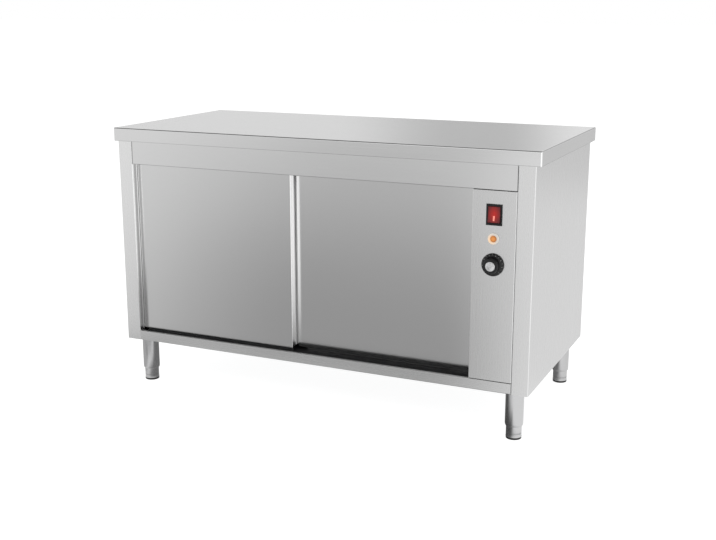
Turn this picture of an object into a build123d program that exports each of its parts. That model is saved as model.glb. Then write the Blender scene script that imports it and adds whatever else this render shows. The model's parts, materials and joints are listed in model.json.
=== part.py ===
from build123d import *
import os

# Plate warmer cabinet. Millimetres, +Z up. The origin is on the floor, below the centre of the overall box,
# with the doors and the control panel facing -Y and the control panel at +X.

# ---------------------------------------------------------------- driving dimensions

overall_width = 1400
overall_height = 850
worktop_depth = 650
worktop_edge = 42
worktop_sheet = 1.5
worktop_bend = 4
side_overhang = 15
front_setback = 3
rear_setback = 2.5

sheet = 1.2
bend = 2.0
leg_height = 150
post_width = 50
post_return = 24
fascia_visible = 72
fascia_return = 12
fascia_flange = 84
rail_height = 32
rail_lip = 5
rail_flange = 30
panel_width = 128
panel_gap = 1.5
panel_return = 20
seam = 0.5
side_flange = 29
rear_flange = 25
stiffener_height = 25
stiffener_width = 60
stiffener_rim = 15
stiffener_count = 3

door_recess = 25
door_thickness = 20
door_pitch = 30
door_overlap = 20
door_bottom_gap = 3
door_top_lap = 3
door_pan_depth = 14
pan_clearance = 0.2
door_bend = 2.0
buffer_thickness = 3
buffer_size = 14
buffer_length = 40
stop_gap = 0.3
fin_thickness = 2.4
fin_depth = 18
fin_inset = 52
fin_clearance = 1.0

track_sheet = 1.5
track_rise = 16
roller_radius = 12
roller_width = 9
roller_lift = 0.3
roller_edge = 1
ledge_lap = 2
axle_radius = 3
axle_head_radius = 4.8
axle_head = 1.5
axle_shoulder = 1
axle_end_play = 0.5
running_clearance = 0.05
hanger_thickness = 3
hanger_width = 40
hanger_foot = 14
hanger_inset = 120
track_height = 24
groove_depth = 12

chamber_front_gap = 6
rear_insulation = 30
floor_level = 34
ceiling_insulation = 40
bearer_width = 40
bearer_count = 3
shelf_share = 0.49
shelf_edge = 25
shelf_side_gap = 1
bracket_width = 25
bracket_inset = 10
bracket_front_gap = 34
bracket_rear_gap = 30
shelf_slot_length = 60
shelf_slot_width = 8
shelf_slot_spacing = 90
shelf_slot_columns = 12
shelf_row_spacing = 130
shelf_slot_rows = 3

switch_width = 46
switch_height = 60
switch_inset = 67.5
switch_rim = 3
switch_edge = 1
switch_depth = 32
switch_body_inset = 2
switch_body_rise = 3
cutout_inset = 1.5
cutout_rise = 2.5
pivot_depth = 5
pivot_radius = 1.6
pivot_overhang = 1.2
pivot_end_play = 0.2
rocker_width = 37.6
rocker_reach = 25
rocker_tilt = 6
rocker_crease = 4.5
rocker_edge = 7
rocker_depth = 8
rocker_gap = 0.4
rocker_pocket = 13
lamp_pitch = 68
lamp_radius = 16.5
lamp_rim = 4
lamp_edge = 1.5
lamp_barrel_radius = 8
lamp_barrel_length = 20
lamp_nut_radius = 11.5
lamp_nut_height = 4
lamp_clearance = 0.2
lens_radius = 9.5
lens_seat = 1
lens_height = 6
lens_edge = 3.5
knob_pitch = 74
knob_radius = 32.5
knob_projection = 27
knob_gap = 1
knob_edge = 3
knob_bevel = 2.5
skirt_rise = 6.5
boss_radius = 22
boss_foot = 1.5
boss_edge = 1.5
cap_radius = 14
cap_height = 2
cap_clearance = 0.1
cap_edge = 0.5
shaft_radius = 3
shaft_seat = 0.02
shaft_gap = 1
shaft_cover = 6
shaft_depth = 20
shaft_end_gap = 2
thermostat_width = 44
thermostat_depth = 38
thermostat_corner = 3

fan_y = 40
fan_box = 200
fan_box_depth = 50
fan_box_rim = 12
capillary_inset = 90
capillary_radius = 1.2
capillary_hole_radius = 2.2
capillary_bend = 14
bulb_radius = 3
bulb_length = 80
bulb_inset = 12
bulb_lead = 45
clip_width = 6
clip_height = 8
clip_inset = 12
impeller_gap = 12
impeller_radius = 68
impeller_width = 28
impeller_plate = 1.5
impeller_hub_radius = 12
blade_count = 24
blade_width = 16
blade_angle = 35
blade_inset = 9
motor_radius = 38
motor_length = 55
motor_edge = 6
motor_shaft_radius = 4
motor_shaft_gap = 2
motor_shaft_overrun = 4
element_radius = 84
element_tube_radius = 3.25
element_end_radius = 4.25
element_clearance = 0.3
element_gap = 14
element_inset = 26
element_tail = 10
grille_slot = 6
grille_pitch = 13
grille_count = 13
grille_length = 170

leg_inset = 52
leg_radius = 27
leg_wall = 1.5
leg_plate = 80
leg_plate_thickness = 3
mouth_height = 40
mouth_clearance = 0.3
mouth_taper = 7
foot_radius = 23
foot_wall = 3
foot_cover = 10
foot_rim = 0.8
foot_rim_height = 3
foot_rim_taper = 2
foot_pad_height = 6
foot_pad_plug = 8
foot_pad_clearance = 0.2
foot_pad_edge = 2
foot_travel = 30
stem_radius = 8
bushing_gap = 6
bushing_height = 20
bushing_clearance = 0.1
gland_bore_radius = 4.5
gland_thread_radius = 10
gland_nut_radius = 14
gland_nut_height = 8
gland_lock_nut_height = 5
gland_dome_radius = 11
gland_drop = 16
gland_thread_rise = 12
gland_clearance = 0.1
gland_inset = 65
gland_wall_inset = 45
terminal_width = 80
terminal_height = 28
terminal_depth = 22
terminal_rise = 84
terminal_count = 5
terminal_pitch = 16
terminal_hole_radius = 3
screw_radius = 1.9
screw_clearance = 0.1
screw_length = 8
screw_head_radius = 4
screw_head_height = 2.2
screw_margin = 50
screw_count = 5
louvre_count = 8
louvre_inset = 140
louvre_pitch = 18
louvre_width = 90
louvre_height = 5
cut_margin = 1

# ---------------------------------------------------------------- derived planes

total_depth = worktop_depth + knob_projection - front_setback
front_y = knob_projection - total_depth / 2
worktop_front = front_y - front_setback
worktop_rear = worktop_front + worktop_depth
rear_y = worktop_rear - rear_setback
body_half = overall_width / 2 - side_overhang
body_bottom = leg_height
worktop_underside = overall_height - worktop_sheet
body_top = worktop_underside - stiffener_height
post_inner = body_half - post_width
fascia_bottom = overall_height - worktop_edge - fascia_visible
rail_top = body_bottom + rail_height
span_half = post_inner - seam
panel_left = span_half - panel_width
panel_centre = (panel_left + span_half) / 2
panel_bottom = rail_top + panel_gap
panel_top = fascia_bottom - panel_gap
panel_inside = front_y + sheet
switch_z = panel_top - switch_inset
lamp_z = switch_z - lamp_pitch
knob_z = lamp_z - knob_pitch
lining_right = panel_left + sheet

front_door_y = front_y + door_recess
rear_door_y = front_door_y + door_pitch
door_bottom = rail_top + door_bottom_gap
door_top = fascia_bottom + door_top_lap
pocket_left = -body_half + sheet
door_zone_left = pocket_left + buffer_thickness + stop_gap
door_zone_right = panel_left - buffer_thickness - stop_gap
door_width = (door_zone_right - door_zone_left + door_overlap) / 2
door_travel = door_zone_right - door_zone_left - door_width

chamber_front = rear_door_y + door_thickness + chamber_front_gap
chamber_rear = rear_y - 2 * sheet - rear_insulation - sheet
chamber_floor_z = body_bottom + floor_level
chamber_ceiling_z = fascia_bottom
base_top = body_bottom + 2 * sheet
shelf_z = chamber_floor_z + shelf_share * (chamber_ceiling_z - chamber_floor_z)

pieces = {}


def span(low, high):
    """The middle and the length of an interval."""
    return (low + high) / 2, high - low


def across(centre, width):
    """The two ends of an interval of a given width about its centre."""
    return centre - width / 2, centre + width / 2


def block(x, y, z, mode=Mode.ADD):
    """Add or cut a box between three pairs of coordinates in the part being built."""
    (cx, dx), (cy, dy), (cz, dz) = span(*x), span(*y), span(*z)
    with Locations((cx, cy, cz)):
        Box(dx, dy, dz, mode=mode)


def folded(points, thickness, side, radius=bend):
    """Draw a folded sheet's section: its outer line, thickened to one side."""
    with BuildLine() as outline:
        FilletPolyline(*points, radius=radius)
        offset(amount=thickness, side=side)
    make_face(outline.edges())


def cut(x, y, z):
    """Cut a box out of the part being built."""
    block(x, y, z, Mode.SUBTRACT)


def drum(radius, length, start, axis=Axis.Z, mode=Mode.ADD):
    """Add or cut a cylinder that starts at a point and runs along the positive axis."""
    turn = {Axis.Z: (0, 0, 0), Axis.X: (0, 90, 0), Axis.Y: (-90, 0, 0)}[axis]
    with Locations(Location(start, turn)):
        Cylinder(radius, length, align=(Align.CENTER, Align.CENTER, Align.MIN), mode=mode)


def hole(radius, length, start, axis=Axis.Z):
    """Drill a cylinder out of the part being built."""
    drum(radius, length, start, axis, Mode.SUBTRACT)


# ---------------------------------------------------------------- worktop

with BuildPart() as worktop:
    block((-overall_width / 2, overall_width / 2), (worktop_front, worktop_rear),
          (overall_height - worktop_edge, overall_height))
    upright = worktop.edges().filter_by(Axis.Z)
    rim = worktop.faces().sort_by(Axis.Z)[-1].edges()
    fillet(upright + rim, radius=worktop_bend)
    offset(amount=-worktop_sheet, openings=worktop.faces().sort_by(Axis.Z)[0])
    # A lip under each end closes the overhang as far as the side panel.
    lip_z = (overall_height - worktop_edge, overall_height - worktop_edge + worktop_sheet)
    for side in (-1, 1):
        outer = side * (overall_width / 2 - worktop_sheet / 2)
        inner = side * (body_half + seam)
        block(sorted((outer, inner)), (worktop_front + worktop_bend, worktop_rear - worktop_bend), lip_z)
pieces["worktop"] = worktop

stiffener_pitch = (rear_y - front_y - fascia_flange) / stiffener_count
with BuildPart() as worktop_stiffeners:
    for index in range(stiffener_count):
        middle = front_y + fascia_flange + stiffener_pitch * (index + 0.5)
        half = stiffener_width / 2
        with BuildSketch(Plane.YZ.offset(-body_half + sheet)):
            folded([(middle - half - stiffener_rim, worktop_underside),
                    (middle - half, worktop_underside),
                    (middle - half, body_top + sheet),
                    (middle + half, body_top + sheet),
                    (middle + half, worktop_underside),
                    (middle + half + stiffener_rim, worktop_underside)], sheet, Side.RIGHT)
        extrude(amount=2 * (body_half - sheet))
pieces["worktop_stiffeners"] = worktop_stiffeners

# ---------------------------------------------------------------- outer body

screw_x = body_half - sheet - rear_flange / 2
screw_pitch = (body_top - body_bottom - 2 * screw_margin) / (screw_count - 1)
screw_heights = [body_bottom + screw_margin + screw_pitch * i for i in range(screw_count)]


def screw_holes(sides):
    """Cut the rear panel's screw holes through whatever lies at the rear face."""
    for side in sides:
        for height in screw_heights:
            start = (side * screw_x, rear_y - 3 * sheet, height)
            hole(screw_radius + screw_clearance, 4 * sheet, start, Axis.Y)


def side_panel(side):
    """One side of the body, folded round the front corner into the post and round the rear corner."""
    rear = rear_y - sheet
    turn = Side.RIGHT if side < 0 else Side.LEFT
    with BuildPart() as panel:
        with BuildSketch(Plane.XY.offset(body_bottom)):
            folded([(side * post_inner, front_y + post_return),
                    (side * post_inner, front_y),
                    (side * body_half, front_y),
                    (side * body_half, rear),
                    (side * (body_half - rear_flange), rear)], sheet, turn)
        extrude(amount=body_top - body_bottom)
        reach = sorted((side * (body_half - sheet / 2), side * (body_half - side_flange)))
        length = (front_y + sheet / 2, rear - sheet / 2)
        block(reach, length, (body_bottom, body_bottom + sheet))
        block(reach, length, (body_top - sheet, body_top))
        screw_holes([side])
    return panel


pieces["left_side_panel"] = side_panel(-1)
pieces["right_side_panel"] = side_panel(1)

bay_centre = (lining_right + body_half - sheet) / 2
with BuildPart() as rear_panel:
    flange_half = body_half - side_flange - seam
    block((-body_half + seam, body_half - seam), (rear_y - sheet, rear_y), (body_bottom, body_top))
    for low in (body_bottom, body_top - sheet):
        block((-flange_half, flange_half), (rear_y - rear_flange, rear_y - sheet / 2), (low, low + sheet))
    # Louvre slots let air into the control bay.
    for index in range(louvre_count):
        height = body_top - louvre_inset - louvre_pitch * index
        cut(across(bay_centre, louvre_width), (rear_y - 2 * sheet, rear_y + sheet),
            (height, height + louvre_height))
    screw_holes([-1, 1])
pieces["rear_panel"] = rear_panel

with BuildPart() as rear_panel_screws:
    for side in (-1, 1):
        for height in screw_heights:
            drum(screw_radius, screw_length, (side * screw_x, rear_y - screw_length, height), Axis.Y)
            drum(screw_head_radius, screw_head_height, (side * screw_x, rear_y, height), Axis.Y)
pieces["rear_panel_screws"] = rear_panel_screws

with BuildPart() as upper_fascia:
    with BuildSketch(Plane.YZ.offset(-span_half)):
        folded([(front_y + fascia_return, fascia_bottom),
                (front_y, fascia_bottom),
                (front_y, body_top),
                (front_y + fascia_flange, body_top)], sheet, Side.RIGHT)
    extrude(amount=2 * span_half)
pieces["upper_fascia"] = upper_fascia

with BuildPart() as lower_front_rail:
    with BuildSketch(Plane.YZ.offset(-span_half)):
        folded([(front_y + rail_flange, body_bottom),
                (front_y, body_bottom),
                (front_y, rail_top),
                (front_y + rail_lip, rail_top)], sheet, Side.RIGHT)
    extrude(amount=2 * span_half)
pieces["lower_front_rail"] = lower_front_rail

base_half = body_half - sheet
gland_x = lining_right + gland_wall_inset
gland_y = rear_y - gland_inset
with BuildPart() as base_pan:
    base_z = (body_bottom + sheet, base_top)
    block((-base_half, base_half), (front_y + post_return + seam, rear_y - sheet - bend), base_z)
    block((-span_half, span_half), (front_y + bend, front_y + post_return + seam), base_z)
    hole(gland_thread_radius + gland_clearance, 4 * sheet, (gland_x, gland_y, body_bottom))
pieces["base_pan"] = base_pan

# ---------------------------------------------------------------- heated chamber

chamber_x = (-post_inner, panel_left)
lining_x = (chamber_x[0] - sheet, lining_right)
chamber_y = (chamber_front, chamber_rear)
wall_z = (chamber_floor_z, chamber_ceiling_z)

with BuildPart() as chamber_floor:
    block(lining_x, (chamber_front, chamber_rear + sheet), (chamber_floor_z - sheet, chamber_floor_z))
    block(lining_x, (chamber_front, chamber_front + sheet), (base_top, chamber_floor_z - sheet / 2))
pieces["chamber_floor"] = chamber_floor

with BuildPart() as chamber_ceiling:
    block(lining_x, (chamber_front, chamber_rear + sheet), (chamber_ceiling_z, chamber_ceiling_z + sheet))
    block(lining_x, (chamber_front, chamber_front + sheet),
          (chamber_ceiling_z + sheet / 2, body_top - sheet))
pieces["chamber_ceiling"] = chamber_ceiling

with BuildPart() as chamber_left_wall:
    block((lining_x[0], chamber_x[0]), (chamber_front, chamber_rear + sheet), wall_z)
    # The front edge turns out to the side panel and closes the pocket behind the post.
    block((-body_half + sheet, chamber_x[0] - sheet / 2), (chamber_front, chamber_front + sheet), wall_z)
pieces["chamber_left_wall"] = chamber_left_wall

fan_z = (chamber_floor_z + chamber_ceiling_z) / 2
capillary_y = fan_y - fan_box / 2 - capillary_inset
with BuildPart() as chamber_right_wall:
    block((chamber_x[1], lining_x[1]), (chamber_front, chamber_rear + sheet), wall_z)
    for index in range(grille_count):
        height = fan_z + (index - (grille_count - 1) / 2) * grille_pitch
        cut((chamber_x[1] - sheet, lining_x[1] + sheet), across(fan_y, grille_length),
            across(height, grille_slot))
    hole(capillary_hole_radius, 4 * sheet, (chamber_x[1] - sheet, capillary_y, knob_z), Axis.X)
pieces["chamber_right_wall"] = chamber_right_wall

with BuildPart() as chamber_rear_wall:
    block(chamber_x, (chamber_rear, chamber_rear + sheet), wall_z)
pieces["chamber_rear_wall"] = chamber_rear_wall

bearer_pitch = (lining_x[1] - lining_x[0]) / bearer_count
bearer_centres = [lining_x[0] + bearer_pitch * (i + 0.5) for i in range(bearer_count)]
bearer_y = (chamber_front + sheet, chamber_rear + sheet)
with BuildPart() as floor_bearers:
    for centre in bearer_centres:
        half = bearer_width / 2
        with BuildSketch(Plane.XZ.offset(-bearer_y[1])):
            folded([(centre - half, base_top),
                    (centre - half, chamber_floor_z - sheet),
                    (centre + half, chamber_floor_z - sheet),
                    (centre + half, base_top)], sheet, Side.RIGHT)
        extrude(amount=bearer_y[1] - bearer_y[0])
pieces["floor_bearers"] = floor_bearers

with BuildPart() as insulation_slabs:
    # Left side, rear, ceiling, then the floor between its bearers.
    block((-body_half + sheet, lining_x[0]), (chamber_front + sheet, chamber_rear + sheet), wall_z)
    block(lining_x, (chamber_rear + sheet, rear_y - 2 * sheet), wall_z)
    block(lining_x, (chamber_front + sheet, chamber_rear + sheet),
          (chamber_ceiling_z + sheet, chamber_ceiling_z + ceiling_insulation))
    edges = [lining_x[0]]
    for centre in bearer_centres:
        edges += [centre - bearer_width / 2, centre + bearer_width / 2]
    edges.append(lining_x[1])
    for low, high in zip(edges[::2], edges[1::2]):
        block((low, high), bearer_y, (base_top, chamber_floor_z - sheet))
pieces["insulation_slabs"] = insulation_slabs

bracket_y = (chamber_front + bracket_front_gap, chamber_rear - bracket_rear_gap)
with BuildPart() as shelf_brackets:
    for wall, inward in ((chamber_x[0], 1), (chamber_x[1], -1)):
        with BuildSketch(Plane.XZ.offset(-bracket_y[1])):
            folded([(wall, shelf_z - bracket_width),
                    (wall, shelf_z),
                    (wall + inward * bracket_width, shelf_z)], sheet, Side.RIGHT if inward > 0 else Side.LEFT)
        extrude(amount=bracket_y[1] - bracket_y[0])
pieces["shelf_brackets"] = shelf_brackets

shelf_x = (chamber_x[0] + shelf_side_gap, chamber_x[1] - shelf_side_gap)
shelf_y = (bracket_y[0] - bracket_inset, bracket_y[1] + bracket_inset)
with BuildPart() as shelf:
    with BuildSketch(Plane.YZ.offset(shelf_x[0])):
        folded([(shelf_y[0], shelf_z + sheet - shelf_edge),
                (shelf_y[0], shelf_z + sheet),
                (shelf_y[1], shelf_z + sheet),
                (shelf_y[1], shelf_z + sheet - shelf_edge)], sheet, Side.RIGHT)
    extrude(amount=shelf_x[1] - shelf_x[0])
    # Rows of slots let the warm air through.
    middle = ((shelf_x[0] + shelf_x[1]) / 2, (shelf_y[0] + shelf_y[1]) / 2)
    with BuildSketch(Plane.XY.offset(shelf_z + 2 * sheet)):
        with Locations(middle):
            with GridLocations(shelf_slot_spacing, shelf_row_spacing, shelf_slot_columns, shelf_slot_rows):
                SlotOverall(shelf_slot_length, shelf_slot_width)
    extrude(amount=-3 * sheet, mode=Mode.SUBTRACT)
pieces["shelf"] = shelf

# ---------------------------------------------------------------- door tracks and buffers

track_x = (-span_half, panel_left - seam)
ledge_top = door_top + track_rise
roller_z = ledge_top + roller_lift + roller_radius
plate_offset = axle_end_play + hanger_thickness


def rail_lines(door_y):
    """The web's front face and the ledge's rear edge of one door's rail."""
    return door_y - roller_width - plate_offset, door_y + ledge_lap


with BuildPart() as upper_track:
    plate_z = (body_top - sheet - track_sheet, body_top - sheet)
    block(track_x, (rail_lines(front_door_y)[0], rail_lines(rear_door_y)[0] + track_sheet), plate_z)
    for door_y in (front_door_y, rear_door_y):
        web, edge = rail_lines(door_y)
        block(track_x, (web, web + track_sheet), (ledge_top - track_sheet, body_top - sheet))
        block(track_x, (web, edge), (ledge_top - track_sheet, ledge_top))
pieces["upper_track"] = upper_track

with BuildPart() as lower_track:
    track_top = base_top + track_height
    block(track_x, (front_y + sheet, chamber_front), (base_top, track_top))
    for door_y in (front_door_y, rear_door_y):
        middle = door_y + door_thickness / 2
        groove = fin_thickness + 2 * fin_clearance
        cut(track_x, across(middle, groove), (track_top - groove_depth, track_top))
pieces["lower_track"] = lower_track

with BuildPart() as door_buffers:
    for door_y in (front_door_y, rear_door_y):
        middle = door_y + door_thickness / 2
        for x in ((pocket_left, pocket_left + buffer_thickness), (panel_left - buffer_thickness, panel_left)):
            block(x, across(middle, buffer_size), (door_top - 2 * buffer_length, door_top - buffer_length))
pieces["door_buffers"] = door_buffers

# ---------------------------------------------------------------- sliding doors


def door_outer(x, y, fin_x):
    """A door's front skin: a tray folded back on four sides, with the guide fin under it."""
    with BuildPart() as skin:
        block(x, (y, y + door_thickness), (door_bottom, door_top))
        front = skin.faces().sort_by(Axis.Y)[0]
        fillet(front.edges(), radius=door_bend)
        offset(amount=-sheet, openings=skin.faces().sort_by(Axis.Y)[-1])
        middle = y + door_thickness / 2
        block(fin_x, across(middle, fin_thickness), (door_bottom - fin_depth, door_bottom + sheet / 2))
    return skin


def door_inner(x, y):
    """A door's rear pan, which closes the tray from behind."""
    gap = sheet + pan_clearance
    with BuildPart() as pan:
        block((x[0] + gap, x[1] - gap), (y + door_thickness - door_pan_depth, y + door_thickness),
              (door_bottom + gap, door_top - gap))
        offset(amount=-sheet, openings=pan.faces().sort_by(Axis.Y)[0])
    return pan


def door_hangers(centres, y):
    """Two angle brackets on a door's top edge, each with the axle its roller turns on."""
    plate_y = y + plate_offset
    tip_y = plate_y - axle_shoulder - roller_width - 2 * axle_end_play - axle_head
    with BuildPart() as hangers:
        for x in centres:
            block(across(x, hanger_width), (plate_y, plate_y + hanger_foot),
                  (door_top, door_top + hanger_thickness))
            block(across(x, hanger_width), (plate_y, plate_y + hanger_thickness),
                  (door_top, roller_z + 2 * axle_radius))
            drum(axle_radius, plate_y + axle_end_play - tip_y, (x, tip_y, roller_z), Axis.Y)
            drum(axle_head_radius, axle_head, (x, tip_y, roller_z), Axis.Y)
            drum(axle_head_radius, axle_shoulder, (x, plate_y - axle_shoulder, roller_z), Axis.Y)
    return hangers


def door_roller(x, y):
    """A roller with a rounded tread and a plain bore."""
    start = y + plate_offset - axle_shoulder - axle_end_play - roller_width
    with BuildPart() as roller:
        drum(roller_radius, roller_width, (x, start, roller_z), Axis.Y)
        fillet(roller.edges().filter_by(GeomType.CIRCLE), radius=roller_edge)
        bore_start = (x, start - cut_margin, roller_z)
        hole(axle_radius + running_clearance, roller_width + 2 * cut_margin, bore_start, Axis.Y)
    return roller


left_door_x = (door_zone_left, door_zone_left + door_width)
right_door_x = (door_zone_right - door_width, door_zone_right)
doors = {"left": (left_door_x, front_door_y), "right": (right_door_x, rear_door_y)}
for name, (x, y) in doors.items():
    fin_x = (x[0] + fin_inset, x[1] - bend)
    hanger_centres = (x[0] + hanger_inset, x[1] - hanger_inset)
    pieces[name + "_door_outer"] = door_outer(x, y, fin_x)
    pieces[name + "_door_inner"] = door_inner(x, y)
    pieces[name + "_door_hangers"] = door_hangers(hanger_centres, y)
    for label, centre in zip("ab", hanger_centres):
        pieces[name + "_door_roller_" + label] = door_roller(centre, y)

# ---------------------------------------------------------------- control panel

with BuildPart() as control_panel:
    with BuildSketch(Plane.XY.offset(panel_bottom)):
        folded([(panel_left, chamber_front),
                (panel_left, front_y),
                (span_half, front_y),
                (span_half, front_y + panel_return)], sheet, Side.LEFT)
    extrude(amount=panel_top - panel_bottom)
    cut_y = (front_y - sheet, front_y + 2 * sheet)
    cut(across(panel_centre, switch_width - 2 * cutout_inset), cut_y,
        across(switch_z, switch_height - 2 * cutout_rise))
    hole(lamp_barrel_radius + lamp_clearance, 4 * sheet, (panel_centre, cut_y[0], lamp_z), Axis.Y)
    hole(shaft_radius + shaft_gap, 4 * sheet, (panel_centre, cut_y[0], knob_z), Axis.Y)
pieces["control_panel"] = control_panel

frame_y = front_y - switch_rim
pivot_y = frame_y + pivot_depth
pin_ends = across(panel_centre, rocker_width + 2 * pivot_overhang)
with BuildPart() as switch_housing:
    block(across(panel_centre, switch_width), (frame_y, front_y), across(switch_z, switch_height))
    fillet(switch_housing.faces().sort_by(Axis.Y)[0].edges(), radius=switch_edge)
    block(across(panel_centre, switch_width - 2 * switch_body_inset),
          (front_y - switch_edge, front_y + switch_depth),
          across(switch_z, switch_height - 2 * switch_body_rise))
    cut(across(panel_centre, rocker_width + 2 * rocker_gap), (frame_y - cut_margin, pivot_y + rocker_pocket),
        across(switch_z, 2 * (rocker_reach + rocker_gap)))
    hole(pivot_radius + running_clearance, pin_ends[1] - pin_ends[0] + 2 * pivot_end_play,
         (pin_ends[0] - pivot_end_play, pivot_y, switch_z), Axis.X)
pieces["switch_housing"] = switch_housing

rocker_plane = Plane((panel_centre - rocker_width / 2, pivot_y, switch_z), x_dir=(0, 1, 0), z_dir=(1, 0, 0))
with BuildPart() as rocker:
    # The section is a disc about the pivot, cut by two shallow faces that meet at the middle.
    with BuildSketch(rocker_plane.rotated((-rocker_tilt, 0, 0))):
        Circle(rocker_reach)
        with BuildLine():
            Polyline((-rocker_edge, -rocker_reach), (-rocker_crease, 0), (-rocker_edge, rocker_reach),
                     (rocker_depth, rocker_reach), (rocker_depth, -rocker_reach), close=True)
        make_face(mode=Mode.INTERSECT)
    extrude(amount=rocker_width)
    drum(pivot_radius, pin_ends[1] - pin_ends[0], (pin_ends[0], pivot_y, switch_z), Axis.X)
pieces["rocker"] = rocker

lamp_axis = Plane((panel_centre, front_y, lamp_z), x_dir=(1, 0, 0), z_dir=(0, -1, 0))
with BuildPart() as pilot_lamp_bezel:
    with BuildSketch(lamp_axis):
        Circle(lamp_radius)
    extrude(amount=lamp_rim)
    fillet(pilot_lamp_bezel.faces().sort_by(Axis.Y)[0].edges(), radius=lamp_edge)
    drum(lamp_barrel_radius, lamp_barrel_length, (panel_centre, front_y - lens_seat, lamp_z), Axis.Y)
    drum(lamp_nut_radius, lamp_nut_height, (panel_centre, panel_inside, lamp_z), Axis.Y)
    recess = (panel_centre, front_y - lamp_rim, lamp_z)
    hole(lens_radius + lamp_clearance, lamp_rim - lens_seat, recess, Axis.Y)
pieces["pilot_lamp_bezel"] = pilot_lamp_bezel

with BuildPart() as pilot_lamp_lens:
    with BuildSketch(lamp_axis.offset(lens_seat)):
        Circle(lens_radius)
    extrude(amount=lens_height)
    fillet(pilot_lamp_lens.faces().sort_by(Axis.Y)[0].edges(), radius=lens_edge)
pieces["pilot_lamp_lens"] = pilot_lamp_lens

thermostat_rear = panel_inside + thermostat_depth
with BuildPart() as thermostat_body:
    block(across(panel_centre, thermostat_width), (panel_inside, thermostat_rear),
          across(knob_z, thermostat_width))
    fillet(thermostat_body.edges().filter_by(Axis.Y), radius=thermostat_corner)
    mouth = (panel_centre, panel_inside, knob_z)
    hole(shaft_radius + running_clearance, shaft_depth + shaft_end_gap, mouth, Axis.Y)
pieces["thermostat_body"] = thermostat_body

knob_front = front_y - knob_projection
shaft_front = knob_front + shaft_cover
with BuildPart() as thermostat_shaft:
    drum(shaft_radius, panel_inside + shaft_depth - shaft_front, (panel_centre, shaft_front, knob_z), Axis.Y)
pieces["thermostat_shaft"] = thermostat_shaft

knob_plane = Plane((panel_centre, front_y, knob_z), x_dir=(1, 0, 0), z_dir=(0, 0, 1))
with BuildPart() as knob:
    with BuildSketch(knob_plane):
        with BuildLine():
            Polyline((0, -knob_gap),
                     (knob_radius, -knob_gap),
                     (knob_radius, -knob_gap - knob_edge),
                     (knob_radius - knob_edge, -knob_gap - knob_edge - knob_bevel),
                     (boss_radius + boss_foot, -knob_gap - skirt_rise),
                     (boss_radius, -knob_projection + boss_edge),
                     (boss_radius - boss_edge, -knob_projection),
                     (0, -knob_projection),
                     close=True)
        make_face()
    revolve(axis=Axis((panel_centre, front_y, knob_z), (0, 1, 0)))
    hole(cap_radius + cap_clearance, cap_height, (panel_centre, knob_front, knob_z), Axis.Y)
    hole(shaft_radius + shaft_seat, knob_projection, (panel_centre, shaft_front, knob_z), Axis.Y)
pieces["knob"] = knob

with BuildPart() as knob_cap:
    drum(cap_radius, cap_height, (panel_centre, knob_front, knob_z), Axis.Y)
    fillet(knob_cap.faces().sort_by(Axis.Y)[0].edges(), radius=cap_edge)
pieces["knob_cap"] = knob_cap

bulb_x = panel_left - bulb_inset
bulb_y = (capillary_y + bulb_lead, capillary_y + bulb_lead + bulb_length)
with BuildPart() as thermostat_capillary:
    with BuildLine(Plane.XY.offset(knob_z)) as route:
        FilletPolyline((panel_centre, thermostat_rear),
                       (panel_centre, capillary_y),
                       (bulb_x, capillary_y),
                       (bulb_x, bulb_y[0]), radius=capillary_bend)
    with BuildSketch(Plane((panel_centre, thermostat_rear, knob_z), z_dir=(0, 1, 0))):
        Circle(capillary_radius)
    sweep(path=route.line)
    drum(bulb_radius, bulb_length, (bulb_x, bulb_y[0], knob_z), Axis.Y)
    for start in (bulb_y[0] + clip_inset, bulb_y[1] - clip_inset - clip_width):
        block((bulb_x, panel_left), (start, start + clip_width), across(knob_z, clip_height))
pieces["thermostat_capillary"] = thermostat_capillary

# ---------------------------------------------------------------- fan heater in the control bay

fan_face = lining_x[1]
fan_back = fan_face + fan_box_depth
impeller_x = fan_face + impeller_gap
fan_point = (fan_back, fan_y, fan_z)
element_drop = (element_radius ** 2 - element_gap ** 2) ** 0.5
with BuildPart() as fan_housing:
    block((fan_face, fan_back), across(fan_y, fan_box), across(fan_z, fan_box))
    offset(amount=-sheet, openings=fan_housing.faces().sort_by(Axis.X)[0])
    flange = fan_box + 2 * fan_box_rim
    mouth = fan_box - 2 * sheet
    block((fan_face, fan_face + sheet), across(fan_y, flange), across(fan_z, flange))
    cut((fan_face - sheet, fan_face + 2 * sheet), across(fan_y, mouth), across(fan_z, mouth))
    hole(motor_shaft_radius + motor_shaft_gap, 4 * sheet, (fan_back - 2 * sheet, fan_y, fan_z), Axis.X)
    for y in across(fan_y, 2 * element_gap):
        start = (fan_back - 2 * sheet, y, fan_z - element_drop)
        hole(element_end_radius + element_clearance, 4 * sheet, start, Axis.X)
pieces["fan_housing"] = fan_housing

with BuildPart() as fan_motor:
    drum(motor_radius, motor_length, fan_point, Axis.X)
    fillet(fan_motor.faces().sort_by(Axis.X)[-1].edges(), radius=motor_edge)
    shaft_tip = impeller_x - motor_shaft_overrun
    drum(motor_shaft_radius, fan_back - shaft_tip, (shaft_tip, fan_y, fan_z), Axis.X)
pieces["fan_motor"] = fan_motor

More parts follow.
